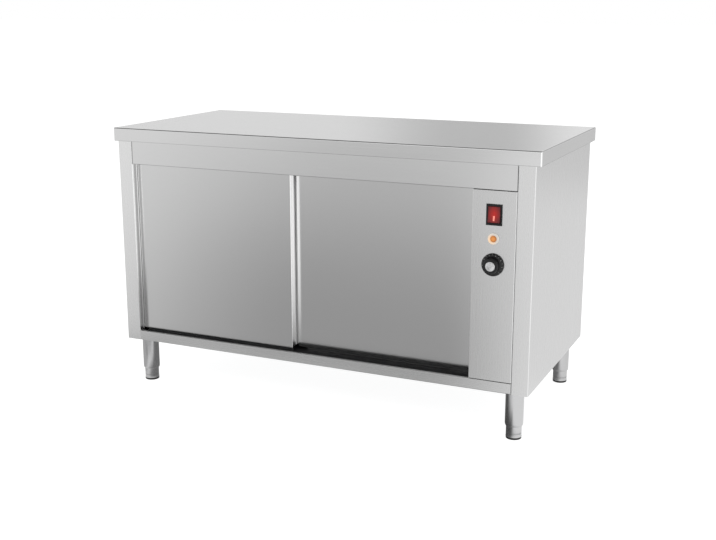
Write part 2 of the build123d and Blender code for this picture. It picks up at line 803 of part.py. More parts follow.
impeller_plane = Plane((impeller_x, fan_y, fan_z), x_dir=(0, 1, 0), z_dir=(1, 0, 0))
with BuildPart() as fan_impeller:
    drum(impeller_radius, impeller_plate, (impeller_x + impeller_width, fan_y, fan_z), Axis.X)
    drum(impeller_hub_radius, impeller_width, (impeller_x, fan_y, fan_z), Axis.X)
    with BuildSketch(impeller_plane):
        with PolarLocations(impeller_radius - blade_inset, blade_count):
            Rectangle(blade_width, sheet, rotation=blade_angle)
    extrude(amount=impeller_width + impeller_plate / 3)
    with BuildSketch(impeller_plane):
        Circle(impeller_radius)
        Circle(impeller_radius - blade_width, mode=Mode.SUBTRACT)
    extrude(amount=sheet)
    hole(motor_shaft_radius + running_clearance, impeller_width + impeller_plate + 2 * cut_margin,
         (impeller_x - cut_margin, fan_y, fan_z), Axis.X)
pieces["fan_impeller"] = fan_impeller

element_x = fan_face + element_inset
with BuildPart() as heater_element:
    with BuildLine(Plane((element_x, fan_y, fan_z), x_dir=(0, 1, 0), z_dir=(1, 0, 0))) as loop:
        ThreePointArc((element_gap, -element_drop), (0, element_radius), (-element_gap, -element_drop))
    with BuildSketch(Plane(loop.line @ 0, z_dir=loop.line % 0)):
        Circle(element_tube_radius)
    sweep(path=loop.line)
    for y in across(fan_y, 2 * element_gap):
        start = element_x - element_end_radius
        drum(element_end_radius, fan_back + element_tail - start, (start, y, fan_z - element_drop), Axis.X)
pieces["heater_element"] = heater_element

# ---------------------------------------------------------------- mains inlet

with BuildPart() as terminal_block:
    block_y = (rear_y - sheet - terminal_depth, rear_y - sheet)
    block(across(bay_centre, terminal_width), block_y, across(base_top + terminal_rise, terminal_height))
    for index in range(terminal_count):
        x = bay_centre + (index - (terminal_count - 1) / 2) * terminal_pitch
        hole(terminal_hole_radius, terminal_depth / 2, (x, block_y[0], base_top + terminal_rise), Axis.Y)
pieces["terminal_block"] = terminal_block

gland_top = base_top + gland_thread_rise
gland_bottom = body_bottom + sheet - gland_drop
with BuildPart() as cable_gland:
    drum(gland_thread_radius, gland_top - body_bottom, (gland_x, gland_y, body_bottom))
    drum(gland_dome_radius, gland_nut_height, (gland_x, gland_y, gland_bottom))
    for level, height in ((body_bottom + sheet, -gland_nut_height), (base_top, gland_lock_nut_height)):
        with BuildSketch(Plane.XY.offset(level)):
            with Locations((gland_x, gland_y)):
                RegularPolygon(gland_nut_radius, 6)
        extrude(amount=height)
    start = (gland_x, gland_y, gland_bottom - cut_margin)
    hole(gland_bore_radius, gland_top - gland_bottom + 2 * cut_margin, start)
pieces["cable_gland"] = cable_gland

# ---------------------------------------------------------------- legs and feet

leg_x = body_half - leg_inset
leg_front = front_y + leg_inset
leg_rear = rear_y - leg_inset
leg_places = {"front_left": (-leg_x, leg_front), "front_right": (leg_x, leg_front),
              "rear_left": (-leg_x, leg_rear), "rear_right": (leg_x, leg_rear)}
tube_top = body_bottom - leg_plate_thickness
bore = leg_radius - leg_wall
mouth_bore = foot_radius + mouth_clearance
insert_top = mouth_height + foot_travel + foot_cover
bushing_bottom = insert_top + bushing_gap
stem_top = bushing_bottom + bushing_height + foot_travel


def ring(points, place):
    """Revolve a half section, given as radius and height, about an upright axis."""
    x, y = place
    with BuildSketch(Plane((x, y, 0), x_dir=(1, 0, 0), z_dir=(0, -1, 0))) as section:
        with BuildLine():
            Polyline(*points, close=True)
        make_face()
    revolve(section.sketch, axis=Axis((x, y, 0), (0, 0, 1)))


def leg(place):
    """A round tube drawn in at its mouth and welded under a square plate."""
    with BuildPart() as tube:
        ring([(leg_radius, tube_top), (leg_radius, mouth_height + mouth_taper),
              (mouth_bore + leg_wall, mouth_height), (mouth_bore, mouth_height),
              (bore, mouth_height + mouth_taper + leg_wall), (bore, tube_top)], place)
        with Locations((place[0], place[1], tube_top)):
            Box(leg_plate, leg_plate, leg_plate_thickness, align=(Align.CENTER, Align.CENTER, Align.MIN))
    return tube


def foot(place):
    """The screwed insert: a sleeve with a flared rim, closed on top, and its threaded stem."""
    with BuildPart() as insert:
        rim_top = foot_pad_height + foot_rim_height
        ring([(0, insert_top), (foot_radius, insert_top), (foot_radius, rim_top + foot_rim_taper),
              (foot_radius + foot_rim, rim_top), (foot_radius + foot_rim, foot_pad_height),
              (foot_radius - foot_wall, foot_pad_height), (foot_radius - foot_wall, insert_top - foot_wall),
              (0, insert_top - foot_wall)], place)
        drum(stem_radius, stem_top - insert_top + cut_margin, (place[0], place[1], insert_top - cut_margin))
    return insert


def foot_pad(place):
    """The pad pressed into the foot's open end, with a rounded tread edge."""
    with BuildPart() as pad:
        plug = foot_radius - foot_wall - foot_pad_clearance
        plug_top = foot_pad_height + foot_pad_plug
        ring([(0, 0), (foot_radius - foot_pad_edge, 0), (foot_radius, foot_pad_edge),
              (foot_radius, foot_pad_height), (plug, foot_pad_height), (plug, plug_top),
              (0, plug_top)], place)
    return pad


for name, place in leg_places.items():
    pieces["leg_" + name] = leg(place)
    pieces["foot_" + name] = foot(place)
    pieces["foot_pad_" + name] = foot_pad(place)

with BuildPart() as leg_bushings:
    for place in leg_places.values():
        eye = stem_radius + running_clearance
        outside = bore - bushing_clearance
        bushing_top = bushing_bottom + bushing_height
        ring([(eye, bushing_bottom), (outside, bushing_bottom),
              (outside, bushing_top), (eye, bushing_top)], place)
pieces["leg_bushings"] = leg_bushings

# ---------------------------------------------------------------- output

os.makedirs("parts", exist_ok=True)
for label, piece in pieces.items():
    piece.part.label = label
    export_step(piece.part, f"parts/{label}.step")

print(len(pieces), "pieces, door travel", round(door_travel, 2))
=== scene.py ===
import json
import math

import bmesh
import bpy
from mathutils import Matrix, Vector

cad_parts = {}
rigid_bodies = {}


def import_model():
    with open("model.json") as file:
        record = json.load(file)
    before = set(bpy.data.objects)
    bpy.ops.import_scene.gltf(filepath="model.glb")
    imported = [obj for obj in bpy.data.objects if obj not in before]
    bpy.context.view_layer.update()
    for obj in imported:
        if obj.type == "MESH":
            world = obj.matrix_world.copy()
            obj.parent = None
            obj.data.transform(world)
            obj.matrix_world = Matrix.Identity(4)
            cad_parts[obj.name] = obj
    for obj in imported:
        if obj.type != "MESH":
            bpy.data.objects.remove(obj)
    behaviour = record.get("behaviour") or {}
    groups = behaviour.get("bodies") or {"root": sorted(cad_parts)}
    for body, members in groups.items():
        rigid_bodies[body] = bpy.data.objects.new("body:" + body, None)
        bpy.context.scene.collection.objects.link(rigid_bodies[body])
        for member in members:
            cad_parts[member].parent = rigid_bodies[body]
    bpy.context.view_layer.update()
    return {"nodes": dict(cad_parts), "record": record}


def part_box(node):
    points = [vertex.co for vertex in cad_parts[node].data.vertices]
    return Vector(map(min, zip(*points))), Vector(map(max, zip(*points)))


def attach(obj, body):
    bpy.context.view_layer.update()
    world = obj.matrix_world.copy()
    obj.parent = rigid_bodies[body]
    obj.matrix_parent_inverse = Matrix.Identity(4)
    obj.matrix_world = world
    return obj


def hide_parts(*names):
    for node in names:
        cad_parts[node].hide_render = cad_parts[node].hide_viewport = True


# Plate warmer cabinet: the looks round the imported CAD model. Metres, +Z up, the doors face -Y.

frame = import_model()
slotOf = {part["node"]: part["material_slot"] for part in frame["record"]["subparts"]}
hair = 1e-5  # closer than this counts as the same place
squareOn = 0.99  # how straight a face looks along a direction it faces
mergeAt = 2e-6  # corners closer than this become one


def middleOf(node, **fixed):
    # the middle of a node's box, with any axis held at another value
    centre = sum(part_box(node), Vector()) / 2
    for axis, value in fixed.items():
        setattr(centre, axis, value)
    return centre


def heights(node):
    return [corner.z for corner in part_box(node)]


# working as by hand: one piece is active, then its mesh is edited
def makeActive(piece):
    bpy.ops.object.select_all(action="DESELECT")
    piece.select_set(True)
    bpy.context.view_layer.objects.active = piece


def startEdit(piece):
    makeActive(piece)
    bpy.ops.object.mode_set(mode="EDIT")


def endEdit():
    bpy.ops.object.mode_set(mode="OBJECT")


def selectAll():
    bpy.ops.mesh.select_all(action="SELECT")


def pick(kind, test):
    # selects the faces, edges or corners that pass a test, and nothing else
    bpy.ops.mesh.select_mode(type=kind)
    bpy.ops.mesh.select_all(action="DESELECT")
    mesh = bpy.context.edit_object.data
    shape = bmesh.from_edit_mesh(mesh)
    for part in {"FACE": shape.faces, "EDGE": shape.edges, "VERT": shape.verts}[kind]:
        if test(part):
            part.select_set(True)
    bmesh.update_edit_mesh(mesh)


def middle(part):
    corners = [corner.co for corner in part.verts]
    return sum(corners, Vector()) / len(corners)


def facing(direction):
    # a test for faces that look along a direction
    return lambda face: face.normal.dot(Vector(direction)) > squareOn


def polar(away):
    # how far a point is from the middle, and at what share of a turn
    return away.length, math.atan2(away.y, away.x) / (2 * math.pi)


def span(edge):
    # how far an edge reaches along each axis
    return Vector([abs(step) for step in edge.verts[0].co - edge.verts[1].co])


def shift(x=0.0, y=0.0, z=0.0):
    bpy.ops.transform.translate(value=(x, y, z))


def inset(thickness):
    bpy.ops.mesh.inset(thickness=thickness)


def resize(scale, pivot=(0, 0, 0)):
    bpy.ops.transform.resize(value=scale, center_override=pivot)


def grow(step, scale=(1, 1, 1), pivot=(0, 0, 0)):
    # extrudes the selected faces or edges, then scales them about a point
    bpy.ops.mesh.extrude_region_move(TRANSFORM_OT_translate={"value": step})
    resize(scale, pivot)


def cutAll(place, way, **settings):
    # cuts the whole mesh with a plane
    selectAll()
    bpy.ops.mesh.bisect(plane_co=place, plane_no=way, **settings)


def applyPlace():
    bpy.ops.object.transform_apply(location=True, rotation=True, scale=True)


def setAt(piece, place=(0, 0, 0), turn=(0, 0, 0)):
    # moves a piece and turns it by degrees, and puts both into its mesh
    makeActive(piece)
    piece.location = place
    piece.rotation_euler = [math.radians(angle) for angle in turn]
    applyPlace()
    return piece


def modified(piece, kind, **settings):
    # a modifier with its settings, applied
    modifier = piece.modifiers.new("change", kind)
    for name, value in settings.items():
        setattr(modifier, name, value)
    makeActive(piece)
    bpy.ops.object.modifier_apply(modifier=modifier.name)


def bevelled(piece, width, segments, angle=40):
    modified(piece, "BEVEL", width=width, segments=segments, limit_method="ANGLE", angle_limit=math.radians(angle))


def joined(name, pieces):
    makeActive(pieces[0])
    for piece in pieces[1:]:
        piece.select_set(True)
    bpy.ops.object.join()
    pieces[0].name = name
    return pieces[0]


def copied(piece):
    # with a mesh of its own
    makeActive(piece)
    bpy.ops.object.duplicate(linked=False)
    return bpy.context.object


def repeated(name, piece, places):
    # a copy at each place, all joined, and the first one taken away
    copies = [setAt(copied(piece), place) for place in places]
    bpy.data.objects.remove(piece)
    return joined(name, copies)


def started(add, name, **settings):
    add(**settings)
    piece = bpy.context.object
    piece.name = piece.data.name = name
    return piece


def block(name, low, high):
    # a box between two corners
    centre = [(a + b) / 2 for a, b in zip(low, high)]
    piece = started(bpy.ops.mesh.primitive_cube_add, name, size=1, location=centre)
    piece.scale = [b - a for a, b in zip(low, high)]
    applyPlace()
    return piece


def rod(name, radius, length, sides):
    # a cylinder along X, about the origin
    piece = started(bpy.ops.mesh.primitive_cylinder_add, name, vertices=sides, radius=radius, depth=length,
                    rotation=(0, math.pi / 2, 0))
    applyPlace()
    return piece


def turned(name, steps, centre, sides=64, ring=False, front=False):
    # a turned shape: a circle extruded and scaled through (radius, height) steps; a ring closes on itself
    radius, height = steps[0]
    piece = started(bpy.ops.mesh.primitive_circle_add, name, vertices=sides, radius=radius,
                    fill_type="NOTHING" if ring else "NGON", location=(0, 0, height))
    applyPlace()
    startEdit(piece)
    bpy.ops.mesh.select_mode(type="EDGE" if ring else "FACE")
    selectAll()
    for newRadius, newHeight in steps[1:]:
        ratio = newRadius / radius
        grow((0, 0, newHeight - height), (ratio, ratio, 1), (0, 0, newHeight))
        radius, height = newRadius, newHeight
    endEdit()
    return setAt(piece, centre, (90 if front else 0, 0, 0))


def wear(piece, finish):
    piece.data.materials.clear()
    piece.data.materials.append(finish)


def putOn(piece, name, body, slot, *replaced, finish=None, smooth=35):
    # place into the mesh, doubles merged, faces outwards, smooth below an angle
    piece.name = name
    makeActive(piece)
    applyPlace()
    startEdit(piece)
    selectAll()
    bpy.ops.mesh.remove_doubles(threshold=mergeAt)
    bpy.ops.mesh.normals_make_consistent(inside=False)
    endEdit()
    bpy.ops.object.shade_smooth_by_angle(angle=math.radians(smooth))
    # it wears its slot's finish or its own, and rides on a body
    wear(piece, finish or finishOf[slot])
    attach(piece, body)
    if replaced:
        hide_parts(*replaced)


def newFinish(name):
    finish = bpy.data.materials.new(name)
    finish.use_nodes = True
    return finish, finish.node_tree, finish.node_tree.nodes["Principled BSDF"]


def feed(node, inputs):
    # another node's output is linked to the input it is named for, and a plain value is written there
    for name, value in inputs.items():
        if isinstance(value, bpy.types.NodeSocket):
            node.id_data.links.new(value, node.inputs[name])
        else:
            node.inputs[name].default_value = value
    return node


def addNode(tree, kind, inputs, **settings):
    node = tree.nodes.new("ShaderNode" + kind)
    for name, value in settings.items():
        setattr(node, name, value)
    return feed(node, inputs)


def maths(tree, kind, first, second):
    return addNode(tree, "Math", {0: first, 1: second}, operation=kind).outputs[0]


def vectorMath(tree, kind, first, second=(0, 0, 0)):
    node = addNode(tree, "VectorMath", {0: first, 1: second}, operation=kind)
    return node.outputs["Value" if kind == "LENGTH" else "Vector"]


def axesOf(tree, vector):
    return addNode(tree, "SeparateXYZ", {0: vector}).outputs


def placed(tree, scale=(1, 1, 1), location=(0, 0, 0)):
    # object coordinates, stretched and moved
    coords = addNode(tree, "TexCoord", {}).outputs["Object"]
    return addNode(tree, "Mapping", {"Vector": coords, "Scale": scale, "Location": location}).outputs["Vector"]


def noise(tree, scale, detail=3.0, rough=0.5, stretch=(1, 1, 1)):
    inputs = {"Vector": placed(tree, stretch), "Scale": scale, "Detail": detail, "Roughness": rough}
    return addNode(tree, "TexNoise", inputs).outputs["Fac"]


def ranged(tree, value, low, high, start=0.0, end=1.0, kind="LINEAR"):
    # a value between start and end, brought to low and high
    inputs = {"Value": value, "From Min": start, "From Max": end, "To Min": low, "To Max": high}
    return addNode(tree, "MapRange", inputs, interpolation_type=kind).outputs["Result"]


def smoothly(tree, value, low, high, start, end):
    return ranged(tree, value, low, high, start, end, "SMOOTHSTEP")


def blended(tree, share, first, second):
    # a colour between two, each a triple or another node's output
    colours = [colour if isinstance(colour, bpy.types.NodeSocket) else (*colour, 1) for colour in (first, second)]
    inputs = {"Factor": share, "A": colours[0], "B": colours[1]}
    return addNode(tree, "Mix", inputs, data_type="RGBA").outputs["Result"]


def bumped(tree, *layers):
    # bumps on top of each other, each a height pattern and its depth
    normal = {}
    for height, depth in layers:
        node = addNode(tree, "Bump", {"Height": height, "Distance": depth, "Strength": 1.0, **normal})
        normal = {"Normal": node.outputs["Normal"]}
    return normal


def grey(level):
    return (level,) * 3


def darker(colour, by):
    return tuple(channel * by for channel in colour)


noiseSpan = (0.3, 0.7)  # where most of a noise pattern lies
# where a bend's painted highlight fades in
bendHighlightSpan = (0.0, 0.35)  # how soon a bend turns bright


def bendHighlightShare(tree, paintedLight):
    # the painted highlight's mask: 1 along the bends of a folded sheet, and all over its end returns when asked; cut
    # edges are moved out of reach
    low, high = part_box(paintedLight["node"])
    low = low - Vector(paintedLight.get("cutLow", (0, 0, 1)))
    high = high + Vector(paintedLight.get("cutHigh", (0, 0, 0)))
    radius = Vector(paintedLight["radius"])
    around = vectorMath(tree, "ABSOLUTE", placed(tree, location=-(low + high) / 2))
    beyond = vectorMath(tree, "MAXIMUM", vectorMath(tree, "SUBTRACT", around, (high - low) / 2 - radius))
    x, y, z = axesOf(tree, vectorMath(tree, "MULTIPLY", beyond, [1 / reach for reach in radius]))
    total = maths(tree, "MULTIPLY", x, 1.0 if paintedLight.get("ends") else y)
    for first, second in ((y, z), (z, x)):
        total = maths(tree, "ADD", total, maths(tree, "MULTIPLY", first, second))
    share = ranged(tree, total, 0.0, 1.0, *bendHighlightSpan)
    if "below" in paintedLight:
        height = axesOf(tree, placed(tree))["Z"]
        share = maths(tree, "MULTIPLY", share, ranged(tree, height, 1.0, 0.0, *paintedLight["below"]))
    return share


def brushedSteel(name, look, paintedLight=None):
    # long streaks along the grain, finer scratches in them, and the slow waves of thin sheet
    finish, tree, shader = newFinish(name)
    along, across = look["streak"]
    stretch = [1 / across] * 3
    stretch["xyz".index(look["grain"])] = 1 / along
    streaks = noise(tree, *look["streaks"], stretch)
    fine = noise(tree, *look["fine"], [side * look["fineRatio"] for side in stretch])
    clouds = noise(tree, *look["clouds"])
    tone = maths(tree, "ADD", ranged(tree, streaks, *look["streakShare"]), ranged(tree, clouds, *look["cloudShare"]))
    colour = blended(tree, tone, darker(look["colour"], look["shade"]), look["colour"])
    roughness = ranged(tree, streaks, *look["roughness"], *noiseSpan)
    if paintedLight:
        axes = axesOf(tree, placed(tree))
        for axis, start, end, shade in paintedLight.get("shadeLines", []):
            # painted shade lines: darker where shade falls in the gap to a neighbour or on a return turned inward
            line = ranged(tree, axes[axis], 1.0, 0.0, start, end)
            colour = blended(tree, line, colour, darker(look["colour"], shade))
        # painted highlight: the bends, and a door's end returns when asked, are made paler and smoother so they shine
        share = bendHighlightShare(tree, paintedLight)
        colour = blended(tree, share, colour, paintedLight["colour"])
        roughness = ranged(tree, share, roughness, paintedLight["roughness"])
    waves = noise(tree, *look["waves"])
    feed(shader, {"Base Color": colour, "Roughness": roughness, "Metallic": 1.0,
                  **bumped(tree, (waves, look["waveDepth"]), (fine, look["fineDepth"]))})
    return finish


def clouded(name, look):
    # cast or plated metal or moulded plastic: a clouded colour under a fine even tooth
    finish, tree, shader = newFinish(name)
    clouds = noise(tree, look["cloudScale"], *look["clouds"])
    tooth = noise(tree, look["toothScale"], look["toothDetail"])
    tone = ranged(tree, clouds, 0.0, 1.0, *look["cloudSpan"])
    feed(shader, {"Base Color": blended(tree, tone, look["second"], look["colour"]),
                  "Roughness": ranged(tree, clouds, *look["roughness"], *noiseSpan),
                  "Metallic": look["metallic"], "Specular IOR Level": look["gloss"],
                  **bumped(tree, (tooth, look["toothDepth"]))})
    return finish


def spangledZinc(name, look):
    # galvanised sheet: flat crystals of slightly different grey under a fine dust
    finish, tree, shader = newFinish(name)
    crystals = addNode(tree, "TexVoronoi", {"Vector": placed(tree), "Scale": look["spangleScale"]})
    tones = addNode(tree, "SeparateColor", {"Color": crystals.outputs["Color"]}).outputs
    dust = noise(tree, *look["dust"])
    feed(shader, {"Base Color": blended(tree, tones[0], look["dark"], look["colour"]),
                  "Roughness": ranged(tree, tones[1], *look["roughness"]), "Metallic": 1.0,
                  **bumped(tree, (dust, look["dustDepth"]))})
    return finish


def litPlastic(name, look):
    # a lens or key with a neon behind it: brightest at a spot, darker at its rim
    finish, tree, shader = newFinish(name)
    centre, spread = look["centre"], look["spread"]
    spot = placed(tree, [1 / side for side in spread], [-place / side for place, side in zip(centre, spread)])
    ball = addNode(tree, "TexGradient", {"Vector": spot}, gradient_type="SPHERICAL").outputs["Fac"]
    speckle = ranged(tree, noise(tree, look["speckleScale"]), *look["speckle"], *noiseSpan)
    glow = maths(tree, "MULTIPLY", speckle, ball)
    feed(shader, {"Base Color": blended(tree, glow, look["second"], look["colour"]),
                  "Emission Color": blended(tree, glow, grey(0), look["glow"]), "Emission Strength": look["strength"],
                  "Roughness": look["roughness"], "Specular IOR Level": look["gloss"]})
    return finish


def matWool(name, look):
    # matted mineral wool: flattened fibres over clumps
    finish, tree, shader = newFinish(name)
    fibres, clumps = noise(tree, *look["fibres"]), noise(tree, *look["clumps"])
    feed(shader, {"Base Color": blended(tree, fibres, look["dark"], look["colour"]),
                  "Roughness": look["roughness"], "Sheen Weight": look["sheen"],
                  **bumped(tree, (clumps, look["clumpDepth"]), (fibres, look["fibreDepth"]))})
    return finish


# sheet steel: a streak's length and width, noises as scale, detail and roughness, and each share as two tones and
# the part of the noise between them
steelSheet = {
    "colour": grey(0.66), "shade": 0.97, "roughness": (0.24, 0.31), "grain": "x", "streak": (0.16, 0.0011),
    "streaks": (1.0, 3.0, 0.6), "streakShare": (0.0, 0.7, 0.25, 0.75), "clouds": (3.0, 2.0),
    "cloudShare": (0.0, 0.3, *noiseSpan), "fine": (1.0, 2.0, 0.5), "fineRatio": 3.0, "fineDepth": 0.000004,
    "waves": (3.2, 1.0), "waveDepth": 0.0012}
uprightSheet = {**steelSheet, "grain": "z", "colour": grey(0.7), "fineDepth": 0.000002}
doorSheet = {**uprightSheet, "colour": grey(0.625), "shade": 0.985, "roughness": (0.16, 0.17),
             "fineDepth": 0.0000008, "waveDepth": 0.0005}
# the paler, smoother steel of the bends and door end returns is a painted highlight
bendHighlight = {"colour": grey(0.93), "roughness": 0.1, "radius": (0.002, 0.002, 0.002)}
doorBendHighlight = {**bendHighlight, "colour": grey(0.99), "roughness": 0.18, "ends": True}

# folded sheets by node, each with its painted highlight on the bends; a painted shade line is an axis, where its shade
# is full and where it ends, and the shade
# the steel's grey differs from panel to panel, lighter or darker to match how each is lit: painted light and shade
foldedSheets = {
    "worktop": ("worktop steel", {**steelSheet, "roughness": (0.15, 0.21)}, {
        **bendHighlight, "radius": (0.004, 0.004, 0.004), "shadeLines": [("Z", 0.8083, 0.8098, 0.6)]}),
    "upper_fascia": ("fascia steel", {**steelSheet, "roughness": (0.19, 0.26)}, {
        **bendHighlight, "cutLow": (1, 0, 1), "cutHigh": (1, 0, 0),
        "shadeLines": [("Z", 0.7363, 0.7378, 0.7), ("X", -0.6342, -0.631, 0.3), ("X", 0.6342, 0.6325, 0.45)]}),
    "left_side_panel": ("left side steel", {**uprightSheet, "colour": grey(0.76)}, {
        **bendHighlight, "radius": (0.0026, 0.008, 0.002), "cutHigh": (0, 0, 1), "below": (0.7352, 0.7362),
        "shadeLines": [("X", -0.635, -0.6354, 0.72)]}),
    "right_side_panel": ("right side steel", uprightSheet, {
        **bendHighlight, "colour": grey(0.85), "roughness": 0.16, "cutLow": (1, 0, 1), "cutHigh": (0, 0, 1)}),
    "control_panel": ("control panel steel", {**uprightSheet, "colour": grey(0.64)}, {
        **bendHighlight, "colour": grey(0.78), "cutHigh": (0, 0, 1), "shadeLines": [("X", 0.6344, 0.633, 0.55)]}),
    "left_door_outer": ("left door steel", doorSheet, doorBendHighlight),
    "right_door_outer": ("right door steel", doorSheet, doorBendHighlight)}
ownFinish = {node: brushedSteel(name, look, {**paintedLight, "node": node})
             for node, (name, look, paintedLight) in foldedSheets.items()}
ownFinish["rear_panel"] = brushedSteel("brushed steel, grain upright", uprightSheet)
hemHighlightSteel = brushedSteel("hem steel with painted highlight", {**uprightSheet, "colour": grey(0.92), "roughness": (0.1, 0.14)})
turnedSteel = brushedSteel("turned steel tube", {
    **steelSheet, "grain": "z", "colour": (0.62, 0.62, 0.625), "streak": (0.04, 0.0006), "roughness": (0.16, 0.26),
    "waveDepth": 0.0001})
finishOf = {
    "stainless_outer": brushedSteel("brushed steel, grain across", steelSheet),
    "stainless_door": brushedSteel("door steel", doorSheet),
    "stainless_inner": brushedSteel("mill steel", {
        **steelSheet, "colour": (0.58, 0.585, 0.59), "shade": 0.9, "streak": (0.05, 0.002),
        "roughness": (0.3, 0.42)}),
    "galvanised": spangledZinc("galvanised sheet", {
        "colour": (0.56, 0.58, 0.6), "dark": (0.44, 0.46, 0.48), "roughness": (0.38, 0.55), "spangleScale": 90.0,
        "dust": (400.0, 4.0), "dustDepth": 0.00004}),
    "mineral_wool": matWool("mineral wool", {
        "colour": (0.66, 0.6, 0.42), "dark": (0.42, 0.36, 0.22), "roughness": 0.95, "sheen": 0.3,
        "fibres": (320.0, 5.0, 0.7, (1, 1, 9)), "fibreDepth": 0.0006, "clumps": (45.0, 4.0, 0.6),
        "clumpDepth": 0.003})}

# metals, plastics and lit plastics: name, colour, a second colour, roughness, and what differs from the common look
metalLook = {"metallic": 1.0, "gloss": 0.5, "clouds": (4.0, 0.6), "cloudSpan": noiseSpan,
             "toothScale": 1500.0, "toothDetail": 3.0, "toothDepth": 0.00001}
metals = {
    "zinc_plated": ("bright zinc plate", (0.7, 0.7, 0.68), (0.55, 0.56, 0.54), (0.25, 0.4), {"cloudScale": 120.0}),
    "element_steel": ("heat-darkened steel", (0.3, 0.27, 0.25), (0.16, 0.15, 0.16), (0.35, 0.55),
                      {"cloudScale": 60.0, "toothScale": 1800.0}),
    "copper_tube": ("drawn copper", (0.76, 0.42, 0.27), (0.5, 0.26, 0.17), (0.28, 0.42), {"cloudScale": 80.0}),
    "motor_case": ("black motor enamel", (0.035, 0.035, 0.038), (0.02, 0.02, 0.022), (0.3, 0.45),
                   {"metallic": 0.0, "cloudScale": 40.0, "toothScale": 500.0, "toothDepth": 0.00005}),
    "brushed_cap": ("satin knob cap", grey(0.78), (0.5, 0.5, 0.51), (0.25, 0.45),
                    {"cloudScale": 260.0, "toothScale": 900.0, "toothDepth": 0.00003})}
plasticLook = {"metallic": 0.0, "gloss": 0.5, "cloudScale": 30.0, "clouds": (3.0, 0.5), "cloudSpan": (0.0, 1.0),
               "toothScale": 1400.0, "toothDetail": 2.0, "toothDepth": 0.00002}
plastics = {
    "black_nylon": ("black nylon", (0.02, 0.02, 0.021), (0.012, 0.012, 0.013), (0.55, 0.7), {"gloss": 0.25}),
    "white_nylon": ("white nylon", (0.82, 0.81, 0.76), (0.7, 0.69, 0.63), (0.35, 0.5), {}),
    "black_rubber": ("black rubber", grey(0.028), (0.016, 0.016, 0.017), (0.6, 0.8), {"toothDepth": 0.00005}),
    "knob_plastic": ("black knob plastic", (0.007, 0.007, 0.0075), (0.004, 0.004, 0.0045), (0.26, 0.38),
                     {"gloss": 0.36}),
    "pale_plastic": ("pale moulded plastic", (0.72, 0.7, 0.64), (0.6, 0.58, 0.52), (0.4, 0.55), {}),
    "dial": ("pale dial marks", (0.62, 0.62, 0.6), (0.5, 0.5, 0.48), (0.4, 0.5), {}),
    "lip": ("grey soft lip", grey(0.8), grey(0.7), (0.5, 0.65), {})}
keyMiddle, lensMiddle = middleOf("rocker"), middleOf("pilot_lamp_lens")
litLook = {"gloss": 0.5, "strength": 0.35, "centre": keyMiddle, "speckle": (0.75, 1.15), "speckleScale": 300.0}
litPlastics = {
    "red_plastic": ("lit red key", (0.38, 0.014, 0.01), (0.14, 0.018, 0.02), 0.2,
                    {"glow": (0.5, 0.02, 0.012), "strength": 0.45, "gloss": 0.3, "spread": (0.019, 0.03, 0.028)}),
    "mark": ("pink key mark", (1.0, 0.34, 0.27), (0.9, 0.26, 0.2), 0.3,
             {"glow": (0.8, 0.2, 0.15), "strength": 0.4, "spread": (0.02, 0.03, 0.03)}),
    "amber_lens": ("lit amber lens", (0.75, 0.27, 0.06), (0.5, 0.17, 0.04), 0.12,
                   {"glow": (0.9, 0.36, 0.08), "centre": lensMiddle, "spread": (0.011, 0.02, 0.011),
                    "speckleScale": 500.0}),
    # the ring is no lamp: its warm glow is painted, and its tan left and white right are a painted reflection of the
    # lit lens
    "lamp_ring": ("warm lamp ring", (0.9, 0.62, 0.36), (0.84, 0.8, 0.74), 0.2,
                  {"glow": (1.0, 0.55, 0.22), "centre": lensMiddle - Vector((0.006, 0, 0.003)),
                   "spread": (0.0175, 0.05, 0.0175), "speckleScale": 200.0})}
for make, common, table in ((clouded, metalLook, metals), (clouded, plasticLook, plastics),
                            (litPlastic, litLook, litPlastics)):
    for slot, (name, colour, second, roughness, changes) in table.items():
        look = {**common, "colour": colour, "second": second, "roughness": roughness, **changes}
        finishOf[slot] = make(name, look)

for name, node in frame["nodes"].items():
    wear(node, ownFinish.get(name, finishOf[slotOf[name]]))
print("finishes ready:", len(finishOf))


# legs with their plates, the feet that screw into them, and the pads with their rings and plugs
legLook = {
    "tubeRadius": 0.027, "wall": 0.0015, "plateHalf": 0.04, "plateCorner": 0.005, "plateHeight": 0.003,
    "plateRim": 0.0005, "plateStep": 0.0001,
    "mouth": [(0.0248, 0.0), (0.0254, 0.0012), (0.0262, 0.0034), (0.0268, 0.0056), (0.027, 0.0082)],
    "weld": [(-0.0002, -0.0024), (0.00108, -0.001728), (0.00192, -0.00084), (0.0024, 0.0), (-0.0002, 0.0),
             (-0.0002, -0.0024)], "weldInside": 0.0004, "weldCrest": 0.000384, "weldBeads": 40}
footLook = {
    "radius": 0.023, "rim": [(0.0222, 0.0), (0.0234, 0.0005), (0.0234, 0.0018), (0.023, 0.003)], "edge": 0.001,
    "groove": [(0.0, 0.0), (0.0009, 0.00027), (0.0009, 0.00063), (0.0, 0.0009)], "grooves": (0.0105, 0.013),
    "bodyTop": 0.074, "stem": 0.008, "stemFillet": 0.0006, "threadDepth": 0.0006, "threadPitch": 0.0022}
padLook = {
    "profile": [(0.012, 0.0), (0.013, 0.0), (0.0136, 0.0014), (0.0174, 0.0014), (0.018, 0.0), (0.0214, 0.0),
                (0.02252, 0.00048), (0.023, 0.0016), (0.023, 0.0056), (0.0226, 0.006), (0.0185, 0.006),
                (0.0185, 0.013), (0.0175, 0.014)]}
cornerNames = {"front_left": "fl", "front_right": "fr", "rear_left": "rl", "rear_right": "rr"}


